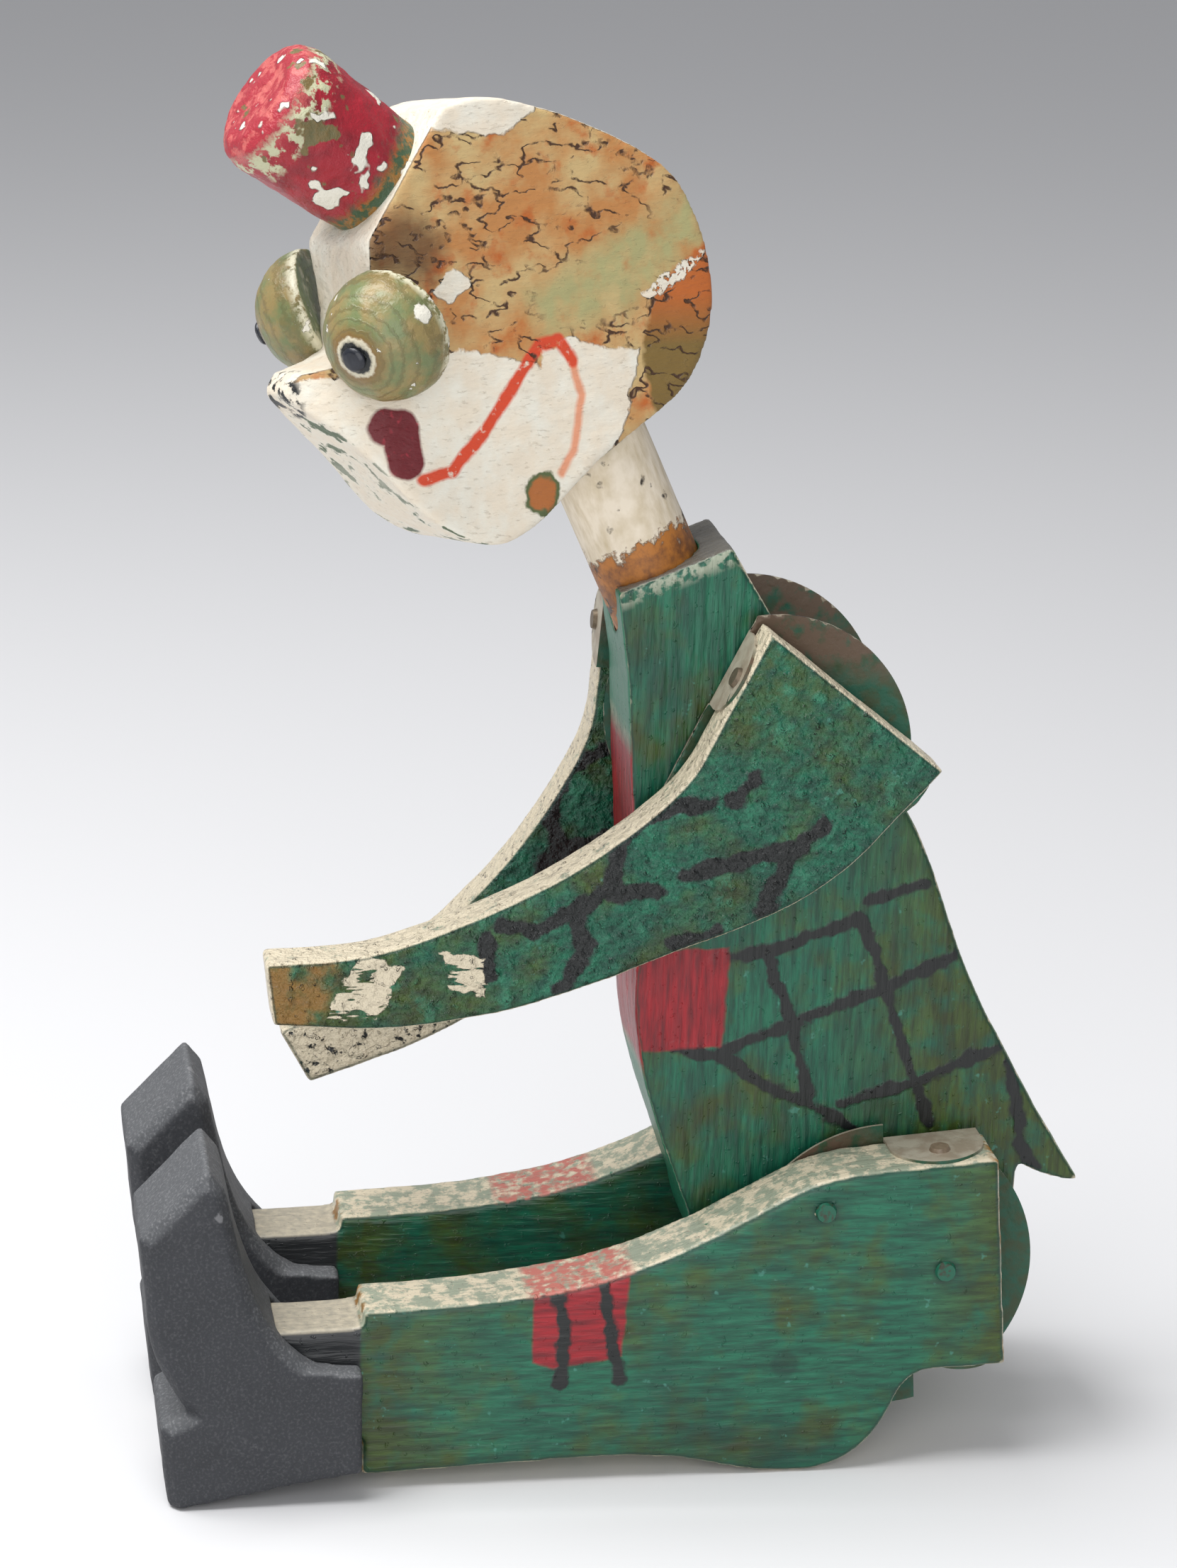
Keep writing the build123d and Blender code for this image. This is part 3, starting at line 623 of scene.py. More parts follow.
HAND_OCHRE = [(-66.0, 58.0), (-58.4, 58.4), (-55.6, 67.4), (-66.0, 67.4)]
SLEEVE_LINE = 2.1
BLOT_TEAL = srgb(58, 140, 108)
HUNG = [((0, -9.0, 2.8), DRAWN_SHOULDER, (1, 0, 0), radians(22))]   # a slip, and a turn about the pin
ARM_TURNS = {"left": AS_DRAWN, "right": HUNG}

sleeve_paints = {}
for side_name, turns in ARM_TURNS.items():
    sleeve_paints[side_name], tree, shader = painted("sleeve_paint_" + side_name, OIL_PAINT)
    where = place(tree, turns)
    flat_place = on_side(tree, wobble(tree, where, 3.0, 1.5))
    hand = beyond(tree, where, "Y", -36.0, -48.0)
    grain = (1.0, 0.4, 0.7)
    color, streaks = green_ground(tree, where, grain, hand)
    shoulder = both(tree, beyond(tree, where, "Z", 88.0, 100.0),
                    step(tree, noise(tree, where, 3.0), 0.42, 0.6))
    color = mix(tree, thinly(tree, shoulder, 0.7), color, OLIVE)
    blots = step(tree, noise(tree, where, 3.2, 4.0, 0.65), 0.55, 0.68)
    color = mix(tree, thinly(tree, blots, 0.55), color, BLOT_TEAL)
    ochre = both(tree, patch(tree, flat_place, HAND_OCHRE, 1.5),
                 step(tree, noise(tree, where, 3.5), 0.36, 0.56))
    color = mix(tree, thinly(tree, ochre, 0.8), color, OCHRE)
    lines = marks(tree, where, flat_place, SLEEVE_CRACKS, SLEEVE_LINE)
    color = mix(tree, lines, color, BLACK_PAINT)
    flakes = None
    for corners in CUFF_FLAKES:
        flake = patch(tree, on_side(tree, wobble(tree, where, 1.6, 2.0)), corners, 0.15)
        flakes = flake if flakes is None else either(tree, flakes, flake)
    stripes = noise(tree, stretch(tree, where, (1.0, 0.3, 1.2)), 1.2, 2.0)
    flakes = without(tree, flakes, step(tree, stripes, 0.57, 0.6))
    color = mix(tree, flakes, color, CREAM)
    inner = both(tree, step(tree, math(tree, "ABSOLUTE", part_of(tree, where, "X")), 11.6, 11.3), hand)
    pale = mix(tree, step(tree, noise(tree, where, 1.2, 5.0), 0.58, 0.64), CREAM, BLACK_PAINT)
    color = mix(tree, inner, color, pale)
    color, side = worn_and_lit_edge(tree, where, color, turns, CREAM, GREY_SAGE, 0.58)
    color_of(tree, shader, color)
    relief(tree, shader, noise(tree, where, 1.6, 4.0), 1.5)
    relief(tree, shader, streaks, 0.05)
    relief(tree, shader, step(tree, noise(tree, where, 0.8, 2.0), 0.62, 0.76), 0.15)
    relief(tree, shader, lines, 0.05)
    relief(tree, shader, flakes, 0.15)
print("sleeve paint has", len(tree.nodes), "nodes")

# %% [markdown]
# ## Paint of the head
# The head was painted in several coats that have crazed and come away in turn: white at the brow,
# orange-brown flesh with dark cracks, a pale green band across the back, and an ivory muzzle with
# a smile drawn in orange and a crimson spot at the lips.

# %% What is painted on the head
NECK_LEAN = radians(24.4)
HEAD_UP = (0, -sin(NECK_LEAN), cos(NECK_LEAN))
HEAD_TURNED = [((0, 0, 0), (0, -21.65, 116.5), HEAD_UP, radians(22))]   # about the neck's middle
FLESH = srgb(186, 128, 72)
SAND = srgb(196, 168, 116)
RUST = srgb(182, 98, 40)
UMBER = srgb(98, 62, 30)
PALE_GREEN = srgb(168, 162, 112)
IVORY = srgb(226, 214, 194)
WHITE_FLAKE = srgb(228, 224, 210)
LIP_RED = srgb(158, 34, 50)
SMILE_ORANGE = srgb(208, 70, 38)
FADED_SMILE = srgb(222, 152, 118)
LOW_RUST = srgb(122, 98, 48)
WRINKLE = srgb(168, 150, 122)
UNDER_GREEN = srgb(74, 92, 62)
CRACK_BROWN = srgb(70, 42, 22)
SPOT_RIM, SPOT = srgb(84, 96, 58), srgb(170, 102, 50)
SMILE = [[(-51.8, 122.1), (-48.2, 122.8), (-44.5, 126.6), (-41.7, 130.0), (-38.9, 133.9),
          (-36.5, 136.8), (-34.2, 137.1), (-32.4, 134.8)]]
SMILE_END = [[(-32.4, 134.8), (-31.4, 130.8), (-32.4, 124.7), (-34.1, 122.0)]]
LIPS = [[(-55.9, 128.2), (-54.4, 128.0), (-53.8, 124.3)]]
MUZZLE = [
    [(-70.0, 110.0), (-28.0, 110.0), (-28.0, 125.0), (-34.0, 138.2), (-46.0, 136.4),
     (-58.0, 139.0), (-70.0, 139.0)],
    [(-36.5, 112.0), (-25.6, 126.8), (-23.1, 136.5), (-24.4, 139.0), (-31.9, 137.2),
     (-36.5, 138.2)],
]
GREEN_BAND = [(-36.0, 137.0), (-24.9, 140.6), (-14.8, 148.0), (-15.0, 155.0), (-27.0, 148.5),
              (-38.0, 142.6)]
RUST_BACK = [(-26.0, 124.0), (-10.0, 126.0), (-10.0, 149.0), (-15.0, 147.6), (-23.9, 140.8),
             (-23.0, 136.0)]
BACK_FLAKES = [(-23.9, 142.6), (-22.0, 141.4), (-17.7, 143.4), (-14.6, 146.4), (-15.3, 148.0),
               (-20.1, 144.3)]
WHITE_TOP = [(-58.0, 150.4), (-52.7, 149.8), (-42.7, 158.4), (-38.2, 160.2), (-30.4, 159.6),
             (-30.0, 166.0), (-58.0, 168.0)]
DARK_BROW = [(-58.5, 146.0), (-50.0, 144.4), (-48.6, 149.4), (-52.7, 152.4), (-58.5, 151.0)]
EYE_CHIP = [(-50.3, 143.2), (-48.1, 141.6), (-45.0, 144.1), (-47.6, 145.6)]
SPOT_AT = (0, -36.7, 119.6)                     # a round spot low on the head
NOSE_TIP = (0, -66.2, 131.6)
print("the smile has", len(SMILE[0]), "points, and the muzzle", len(MUZZLE), "patches")

# %% The head's coats, from the wood out
head_paint, tree, shader = painted("head_paint", 0.5)
where = place(tree, HEAD_TURNED)
ragged = wobble(tree, where, 2.2, 2.4)
ragged_side = on_side(tree, ragged)
drawn_side = on_side(tree, wobble(tree, where, 2.5, 0.8))
fibre = noise(tree, stretch(tree, where, (1.0, 0.35, 1.0)), 1.2, 5.0)
color = mix(tree, step(tree, noise(tree, where, 7.0), 0.4, 0.62), FLESH, SAND)
color = mix(tree, step(tree, noise(tree, where, 4.0, 5.0), 0.55, 0.7), color, RUST)
band = both(tree, patch(tree, ragged_side, GREEN_BAND, 3.5),
            step(tree, noise(tree, where, 3.0, 5.0), 0.25, 0.6))
color = mix(tree, band, color, PALE_GREEN)
rust = patch(tree, ragged_side, RUST_BACK, 0.6)
color = mix(tree, rust, color, mix(tree, beyond(tree, where, "Z", 136.0, 142.0), LOW_RUST, RUST))
color = mix(tree, thinly(tree, patch(tree, ragged_side, DARK_BROW, 3.0), 0.85), color, UMBER)
white = patch(tree, ragged_side, WHITE_TOP, 0.3)
white = either(tree, white, patch(tree, ragged_side, EYE_CHIP, 0.2))
back_flakes = patch(tree, on_side(tree, wobble(tree, where, 1.2, 1.6)), BACK_FLAKES, 0.2)
gone = step(tree, noise(tree, where, 0.9, 3.0), 0.56, 0.6)
white = either(tree, white, without(tree, back_flakes, gone))
muzzle = either(tree, patch(tree, ragged_side, MUZZLE[0], 0.3), patch(tree, ragged_side, MUZZLE[1], 0.3))
edge = without(tree, step(tree, noise(tree, where, 1.5, 5.0), 0.2, 0.24), broad_side(tree, HEAD_TURNED))
edge = both(tree, edge, beyond(tree, ragged, "Y", -19.0, -22.0))
white = either(tree, either(tree, white, muzzle), edge)
ivory = mix(tree, step(tree, noise(tree, where, 3.0, 4.0), 0.4, 0.7), IVORY, WHITE_FLAKE)
wrinkles = step(tree, noise(tree, stretch(tree, where, (1.0, 0.5, 1.6)), 0.6, 4.0), 0.6, 0.72)
ivory = mix(tree, thinly(tree, wrinkles, 0.3), ivory, WRINKLE)
color = mix(tree, white, color, ivory)
under = both(tree, beyond(tree, facing(tree, HEAD_TURNED), "Z", -0.45, -0.75),
             step(tree, noise(tree, where, 3.0, 5.0), 0.56, 0.6))
color = mix(tree, without(tree, under, broad_side(tree, HEAD_TURNED)), color, UNDER_GREEN)
from_spot = distance_to(tree, ragged_side, SPOT_AT)
color = mix(tree, step(tree, from_spot, 2.6, 2.3), color, SPOT_RIM)
color = mix(tree, step(tree, from_spot, 2.1, 1.7), color, SPOT)
grubby = both(tree, step(tree, distance_to(tree, where, NOSE_TIP), 4.4, 3.6),
              step(tree, noise(tree, where, 1.4), 0.5, 0.56))
color = mix(tree, grubby, color, BLACK_PAINT)
print("the coats have", len(tree.nodes), "nodes")

# %% Smile, lips and cracks
color = mix(tree, strokes(tree, drawn_side, SMILE_END, 1.0, 0.5), color, FADED_SMILE)
rub = step(tree, noise(tree, where, 1.1, 3.0), 0.26, 0.4)
color = mix(tree, both(tree, rub, strokes(tree, drawn_side, SMILE, 1.5, 0.4)), color, SMILE_ORANGE)
lips = strokes(tree, drawn_side, LIPS, 4.3, 0.4)
color = mix(tree, lips, color, mix(tree, rub, LIP_RED, DARK_RED))
flesh = without(tree, broad_side(tree, HEAD_TURNED), white)
wave = noise(tree, stretch(tree, wobble(tree, where, 2.0, 1.6), (0.4, 0.42, 1.0)), 2.6, 2.0)
crazing = step(tree, math(tree, "ABSOLUTE", math(tree, "SUBTRACT", wave, 0.5)), 0.024, 0.008)
crazing = both(tree, both(tree, crazing, flesh), step(tree, noise(tree, where, 2.4), 0.44, 0.54))
crazing = without(tree, crazing, patch(tree, ragged_side, GREEN_BAND, 2.5))
color = mix(tree, crazing, color, CRACK_BROWN)
color_of(tree, shader, color)
relief(tree, shader, fibre, 0.3)
relief(tree, shader, wrinkles, 0.05)
relief(tree, shader, crazing, -0.2)
relief(tree, shader, white, 0.22)
print("head paint has", len(tree.nodes), "nodes")

# %% [markdown]
# ## Hat
# The hat is a stubby drum, red where the paint is sound, rose near the top, where it has gone pale
# with age and where a painted highlight stands for the light from above, with a cream ring and chips
# down to white and green.  Its height along its own axis, shaken by noise, says where each of these
# begins, so every border is ragged.

# %% Hat
HAT_MIDDLE = (0, -53.0, 156.3)
HAT_WAY = (0, -0.836, 0.549)
HAT_RED, HAT_DARK = srgb(160, 28, 44), srgb(118, 22, 34)
HAT_FADED_AND_LIT, HAT_ROSE = srgb(196, 96, 92), srgb(166, 44, 56)
HAT_CREAM, HAT_GREEN, CHIP_GREEN = srgb(192, 192, 158), srgb(60, 84, 58), srgb(52, 92, 72)

hat_paint, tree, shader = painted("hat_paint", 0.4)
where = place(tree, HEAD_TURNED)
height = reach(tree, away_from(tree, where, HAT_MIDDLE), HAT_WAY)
ragged = noise(tree, where, 2.0, 5.0, 0.65)
height = math(tree, "ADD", height, shaken(tree, ragged, 5.0))
color = mix(tree, step(tree, noise(tree, where, 3.5, 4.0), 0.45, 0.7), HAT_RED, HAT_DARK)
# Near the top the red turns rose: partly age, partly a painted highlight for the light from above.
faded_and_lit_top = step(tree, height, 13.5, 15.0)
color = mix(tree, faded_and_lit_top, color, mix(tree, step(tree, ragged, 0.42, 0.5), HAT_FADED_AND_LIT, HAT_ROSE))
rim_band = both(tree, step(tree, height, 11.4, 12.4), step(tree, height, 16.0, 15.0))
color = mix(tree, both(tree, rim_band, step(tree, ragged, 0.47, 0.52)), color, HAT_CREAM)
low = step(tree, height, 3.0, 1.4)
color = mix(tree, low, color, mix(tree, step(tree, ragged, 0.46, 0.54), HAT_GREEN, OCHRE))
chips = step(tree, noise(tree, where, 4.0, 2.5), 0.6, 0.62)
color = mix(tree, chips, color, WHITE_FLAKE)
green_chips = step(tree, noise(tree, stretch(tree, where, (1.3, 1.3, 1.3)), 4.5, 3.0), 0.6, 0.63)
color = mix(tree, without(tree, green_chips, chips), color, mix(tree, ragged, CHIP_GREEN, OCHRE))
color_of(tree, shader, color)
relief(tree, shader, chips, 0.2)
relief(tree, shader, ragged, 0.5)
print("hat paint has", len(tree.nodes), "nodes")

# %% [markdown]
# ## Eyes
# Each eye is a turned half ball, and the lathe's fine rings show through olive paint.  How far a
# point lies from the line that the eye looks along gives both the rings and the dark middle.

# %% Eyes
EYE_DOWN = radians(20)


def eye_way(outward, side):
    """Where an eye looks: some degrees outwards, to the side of +1 or -1, and a little down."""
    outward = radians(outward)
    return side * sin(outward) * cos(EYE_DOWN), -cos(outward) * cos(EYE_DOWN), -sin(EYE_DOWN)


EYES = {                                        # where each sits, and where it looks
    "left": ((10.0, -56.0, 139.1), eye_way(28, 1)),
    "right": ((-10.2, -54.8, 141.2), eye_way(44, -1)),
}
EYE_FLAKE = (17.2, -56.2, 141.1)                # a chip of white on the left eye
RING_WAVE = 6.3                                 # a ring of the lathe for each millimetre
EYE_OLIVE, EYE_SAGE, EYE_RING = srgb(146, 128, 82), srgb(112, 122, 80), srgb(84, 74, 42)
EYE_TAN, EYE_IVORY, EYE_RIM_PALE = srgb(122, 92, 46), srgb(206, 198, 174), srgb(212, 208, 182)
EYE_BACK_DARK, EYE_BACK_PALE = srgb(70, 92, 62), srgb(124, 134, 92)

eye_paints = {}
for side_name, (seat, looking) in EYES.items():
    eye_paints[side_name], tree, shader = painted("eye_paint_" + side_name, 0.35)
    where = place(tree, HEAD_TURNED)
    from_seat = away_from(tree, where, seat)
    height = reach(tree, from_seat, looking)
    across = node(tree, "VectorMath", {0: from_seat, 1: looking}, operation="CROSS_PRODUCT").outputs[0]
    radius = node(tree, "VectorMath", {0: across}, operation="LENGTH").outputs["Value"]
    ragged = noise(tree, where, 1.4, 5.0, 0.65)
    radius = math(tree, "ADD", radius, shaken(tree, ragged, 1.4))
    color = mix(tree, step(tree, noise(tree, where, 3.0), 0.4, 0.62), EYE_OLIVE, EYE_SAGE)
    rings = math(tree, "SINE", math(tree, "MULTIPLY", radius, RING_WAVE))
    turned = thinly(tree, step(tree, rings, 0.3, 1.0), 0.35)
    color = mix(tree, turned, color, EYE_RING)
    color = mix(tree, step(tree, radius, 4.0, 2.4), color, EYE_TAN)
    color = mix(tree, step(tree, radius, 2.6, 2.3), color, EYE_IVORY)
    color = mix(tree, step(tree, radius, 2.1, 1.8), color, BLACK_PAINT)
    rim = step(tree, height, 1.6, 0.6)
    color = mix(tree, both(tree, rim, step(tree, ragged, 0.44, 0.52)), color, EYE_RIM_PALE)
    back = step(tree, height, 0.1, 0.0)
    color = mix(tree, back, color, mix(tree, ragged, EYE_BACK_DARK, EYE_BACK_PALE))
    from_flake = distance_to(tree, wobble(tree, where, 1.0, 1.2), EYE_FLAKE)
    flake = either(tree, step(tree, noise(tree, where, 2.2, 4.0), 0.66, 0.68),
                   step(tree, from_flake, 1.25, 1.1))
    color = mix(tree, flake, color, WHITE_FLAKE)
    color_of(tree, shader, color)
    relief(tree, shader, turned, 0.1)
    relief(tree, shader, flake, 0.2)
    relief(tree, shader, noise(tree, where, 1.0, 3.0), 0.15)
print("eye paint has", len(tree.nodes), "nodes")

# %% [markdown]
# ## Pupils, neck and shoes
# The pupils are black nail heads, a little shiny.  The dowel of the neck is ivory above and bare
# brown wood where it comes out of the coat.  The shoes are dull black with dust on what faces up,
# and a painted highlight lightens their upper faces further.

# %% Pupils and neck
PUPIL_BLACK, PUPIL_GREY = srgb(14, 15, 20), srgb(40, 44, 54)
NECK_WAY = (0, -0.413, 0.911)
COLLAR_AT = (0, -17.0, 108.0)                   # on the dowel, where the coat's front opens
NECK_GRAIN, NECK_CRACK = srgb(196, 180, 150), srgb(56, 48, 38)
BARE_WOOD, DARK_WOOD = srgb(172, 108, 42), srgb(118, 72, 36)

pupil_paint, tree, shader = painted("pupil_paint", 0.3)
color_of(tree, shader, mix(tree, noise(tree, place(tree), 0.8), PUPIL_BLACK, PUPIL_GREY))

neck_paint, tree, shader = painted("neck_paint", 0.5)
where = place(tree)
height = reach(tree, away_from(tree, where, COLLAR_AT), NECK_WAY)
ragged = noise(tree, where, 2.2, 5.0, 0.65)
height = math(tree, "ADD", height, shaken(tree, ragged, 9.0))
grain = noise(tree, stretch(tree, where, (1.0, 0.3, 0.25)), 0.8, 4.0)
color = mix(tree, step(tree, grain, 0.4, 0.75), IVORY, NECK_GRAIN)
bare = mix(tree, step(tree, ragged, 0.4, 0.6), BARE_WOOD, DARK_WOOD)
color = mix(tree, step(tree, height, 6.6, 5.8), color, bare)
long_cells = cells(tree, stretch(tree, wobble(tree, where, 2.0, 2.0), (0.6, 0.35, 0.35)), 3.0)
crack = without(tree, step(tree, long_cells, 0.05, 0.02),
                step(tree, noise(tree, where, 3.0), 0.36, 0.42))
color = mix(tree, crack, color, NECK_CRACK)
color_of(tree, shader, color)
relief(tree, shader, step(tree, height, 5.8, 6.6), 0.3)
relief(tree, shader, crack, -0.2)
relief(tree, shader, grain, 0.1)
print("neck paint has", len(tree.nodes), "nodes")

# %% Shoes
SHOE_BLACK, SHOE_GREY = srgb(36, 38, 42), srgb(50, 52, 57)
SHOE_DUST, SHOE_DUST_AND_HIGHLIGHT, SHOE_CORNER = srgb(150, 150, 152), srgb(132, 134, 136), srgb(140, 140, 142)

shoe_paint, tree, shader = painted("shoe_paint", 0.62)
where = place(tree)
dust = step(tree, noise(tree, where, 0.35, 4.0), 0.5, 0.8)
upward = step(tree, part_of(tree, facing(tree), "Z"), 0.1, 0.9)
color = mix(tree, noise(tree, where, 5.0), SHOE_BLACK, SHOE_GREY)
# Upper faces are lighter: speckled dust, and an even painted highlight for the lamp overhead.
dusty = math(tree, "MULTIPLY", dust, math(tree, "ADD", thinly(tree, upward, 0.7), 0.18))
color = mix(tree, dusty, color, SHOE_DUST)
color = mix(tree, thinly(tree, upward, 0.4), color, SHOE_DUST_AND_HIGHLIGHT)
corner = step(tree, sharp_corner(tree, noise(tree, where, 1.6, 5.0), 0.12), 0.56, 0.62)
color = mix(tree, thinly(tree, corner, 0.55), color, SHOE_CORNER)
color_of(tree, shader, color)
relief(tree, shader, noise(tree, where, 0.5, 4.0), 0.12)
relief(tree, shader, noise(tree, stretch(tree, where, (1.0, 0.3, 0.3)), 1.8, 3.0), 0.3)
print("shoe paint has", len(tree.nodes), "nodes")

# %% [markdown]
# ## Tin and steel
# Each plate was painted over with the coat, and the paint has rusted off in crescents.  The
# tongues, bent over the boards' edges, were handled bare and are a dull grey-beige.  Masks by
# place and by the way a surface faces tell disc and tongue apart, so one finish serves all four.

# %% Tin and steel
BARE_TIN, RUSTED_TIN, DISC_RUST = srgb(184, 176, 158), srgb(124, 98, 74), srgb(92, 74, 58)
DISC_TEAL, DISC_OLIVE = srgb(24, 84, 64), srgb(52, 70, 44)
STEEL_BROWN, STEEL_PALE = srgb(74, 62, 50), srgb(140, 126, 106)
NAIL_BROWN, NAIL_PALE = srgb(84, 66, 50), srgb(150, 134, 112)
NAIL_TEAL, NAIL_DARK = srgb(24, 92, 70), srgb(52, 58, 44)

tin_metal, tree, shader = painted("tin_metal", 0.5)
where = place(tree)
flat_disc = step(tree, math(tree, "ABSOLUTE", part_of(tree, facing(tree), "X")), 0.5, 0.8)
rust = step(tree, noise(tree, where, 3.0, 6.0), 0.42, 0.6)
bare = mix(tree, thinly(tree, rust, 0.45), BARE_TIN, RUSTED_TIN)
over_shoulder = both(tree, flat_disc, beyond(tree, where, "Z", 97.0, 101.0))
over_hip = both(tree, beyond(tree, where, "Y", 12.0, 6.0), beyond(tree, where, "Z", 60.0, 56.0))
rusty = either(tree, over_shoulder, both(tree, flat_disc, over_hip))
paint = mix(tree, step(tree, noise(tree, where, 2.0, 5.0), 0.4, 0.6), DISC_TEAL, DISC_OLIVE)
rusted = both(tree, rusty, step(tree, noise(tree, where, 2.2, 5.0), 0.34, 0.5))
disc = mix(tree, rusted, paint, DISC_RUST)
color_of(tree, shader, mix(tree, flat_disc, bare, disc))
tree.links.new(thinly(tree, off(tree, flat_disc), 0.25), shader.inputs["Metallic"])
relief(tree, shader, rust, 0.06)
print("tin has", len(tree.nodes), "nodes")

dark_steel, tree, shader = painted("dark_steel", 0.5)
color_of(tree, shader, mix(tree, noise(tree, place(tree), 0.7), STEEL_BROWN, STEEL_PALE))
shader.inputs["Metallic"].default_value = 0.6

leg_nail_paint, tree, shader = painted("leg_nail_paint", 0.45)
where = place(tree)
on_face = step(tree, math(tree, "ABSOLUTE", part_of(tree, where, "X")), 19.0, 19.4)
steel = mix(tree, noise(tree, where, 0.7), NAIL_BROWN, NAIL_PALE)
green = mix(tree, step(tree, noise(tree, where, 0.8), 0.5, 0.6), NAIL_TEAL, NAIL_DARK)
color_of(tree, shader, mix(tree, on_face, steel, green))


# %% [markdown]
# ## Worn copies of the boards
# A saw leaves a board with sharp corners, and years of handling wear them round.  Bevelling
# each outline would give the same narrow band everywhere.  Remeshing a merged copy into small
# even squares and smoothing it a little rounds every corner as wear does, and leaves a mesh
# that can be dented as well.

# %% Dress a board
MERGE_WITHIN = 0.001 * MM                       # how near the corners of loose triangles meet


def select_only(piece):
    """Make this piece the only one selected, and the active one."""
    bpy.ops.object.select_all(action="DESELECT")
    piece.select_set(True)
    bpy.context.view_layer.objects.active = piece


def add_and_apply(piece, kind, **settings):
    """Put one modifier on a piece and apply it."""
    select_only(piece)
    modifier = piece.modifiers.new(kind.lower(), kind)
    for setting, value in settings.items():
        setattr(modifier, setting, value)
    bpy.ops.object.modifier_apply(modifier=modifier.name)


def edit_merged(piece):
    """Open a piece in edit mode with its loose triangles joined into one skin, all selected."""
    select_only(piece)
    bpy.ops.object.mode_set(mode="EDIT")
    bpy.ops.mesh.select_all(action="SELECT")
    bpy.ops.mesh.remove_doubles(threshold=MERGE_WITHIN)
    bpy.ops.mesh.select_all(action="SELECT")


def worn(piece, square, smoothing, dent, dent_size=6.0):
    """Give a piece even squares, worn corners and dented sides, all sizes in millimetres."""
    edit_merged(piece)
    bpy.ops.mesh.normals_make_consistent(inside=False)
    bpy.ops.object.mode_set(mode="OBJECT")
    add_and_apply(piece, "REMESH", mode="VOXEL", voxel_size=square * MM)
    add_and_apply(piece, "SMOOTH", factor=0.5, iterations=smoothing)
    clouds = bpy.data.textures.new(piece.name + "_dents", "CLOUDS")
    clouds.noise_scale = dent_size * MM
    add_and_apply(piece, "DISPLACE", texture=clouds, strength=dent * MM, mid_level=0.5,
                  texture_coords="LOCAL")
    select_only(piece)
    bpy.ops.object.shade_smooth()
    return piece


def copy_of(node_name, name):
    """A copy of a CAD node, under a name of its own."""
    piece = bpy.data.objects.new(name, NODES[node_name].data.copy())
    bpy.context.scene.collection.objects.link(piece)
    return piece


def dress(piece, paint, body, slot, *nodes):
    """Paint a piece, put it on its body and hide the CAD nodes that it takes the place of."""
    piece.data.materials.clear()
    piece.data.materials.append(paint)
    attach(piece, body)
    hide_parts(*nodes)


def ramp(value, start, end):
    """0 before start, 1 past end, and rising evenly between."""
    return min(max((value - start) / (end - start), 0), 1)


def print_faces(*pieces):
    """Print how many faces each piece has."""
    print({piece.name: len(piece.data.polygons) for piece in pieces})


# %% [markdown]
# ## Boards
# The squares are a little under half a millimetre, small enough to keep a board's outline and
# large enough to stay quick.  Behind the instep each boot is drawn back, more and more, so that
# it meets the trouser's cuff.

# %% Boards
THICK_BOARD = {"square": 0.45, "smoothing": 3, "dent": 0.3}
THIN_BOARD = {"square": 0.4, "smoothing": 3, "dent": 0.25}
CARVED_BLOCK = {"square": 0.45, "smoothing": 4, "dent": 0.3}
DOWEL = {"square": 0.35, "smoothing": 2, "dent": 0.08}
INSTEP, BOOT_BACK = -60.0, -54.6
CUFF_GAP = 1.3                                  # each boot is drawn back by this to meet the cuff

coat = worn(copy_of("torso", "coat_board"), **THICK_BOARD)
dress(coat, coat_paint, "trunk", "coat_green", "torso")
for side_name in ("left", "right"):
    trouser = worn(copy_of("leg_" + side_name, "trouser_leg_" + side_name), **THICK_BOARD)
    dress(trouser, trouser_paint, side_name + "_leg", "coat_green", "leg_" + side_name)
    sleeve = worn(copy_of("arm_" + side_name, "sleeve_" + side_name), **THIN_BOARD)
    dress(sleeve, sleeve_paints[side_name], side_name + "_arm", "coat_green", "arm_" + side_name)
    boot = worn(copy_of("shoe_" + side_name, "boot_" + side_name), **CARVED_BLOCK)
    for vertex in boot.data.vertices:
        vertex.co.y += CUFF_GAP * MM * ramp(vertex.co.y / MM - DRAWING.y, INSTEP, BOOT_BACK)
    dress(boot, shoe_paint, side_name + "_leg", "shoe_black", "shoe_" + side_name)
dowel = worn(copy_of("neck", "neck_dowel"), **DOWEL)
dress(dowel, neck_paint, "head_and_neck", "neck_ivory", "neck")
print_faces(coat, trouser, sleeve, boot, dowel)

# %% [markdown]
# ## Shoulder plates
# Each shoulder plate was snipped straight along its upper tongue before the tongue was bent, so
# a copy of it is cut by that line, a sheet's thickness outside the arm's edge.  Bisect cuts all
# that is selected by one plane and closes the cut.

# %% Shoulder plates
SNIP_AT = Vector((0, -9.4, 99.3))              # on the arm's upper edge, under the tongue
SNIP_OUT = Vector((0, -0.896, 0.445))
SHEET = 0.6
for side_name, turns in ARM_TURNS.items():
    plate = copy_of("shoulder_plate_" + side_name, "shoulder_tin_" + side_name)
    point, out = SNIP_AT + SNIP_OUT * SHEET, SNIP_OUT
    for slip, centre, axis, angle in turns:
        turn = Matrix.Rotation(angle, 3, Vector(axis))
        point = turn @ (point - Vector(centre)) + Vector(centre) + Vector(slip)
        out = turn @ out
    edit_merged(plate)
    bpy.ops.mesh.bisect(plane_co=drawn(*point), plane_no=out, use_fill=True, clear_outer=True)
    bpy.ops.object.mode_set(mode="OBJECT")
    dress(plate, tin_metal, side_name + "_arm", "tin_plate", "shoulder_plate_" + side_name)
    print_faces(plate)

# %% [markdown]
# ## The head
# The head is seen closer than anything else, so it is carved here from its own drawing: a board
# sawn round, with a flat for the hat, and whittled narrower towards the nose.  The hat and the
# eyes are turned pieces.  All of it is drawn facing forward and then turned on the neck.

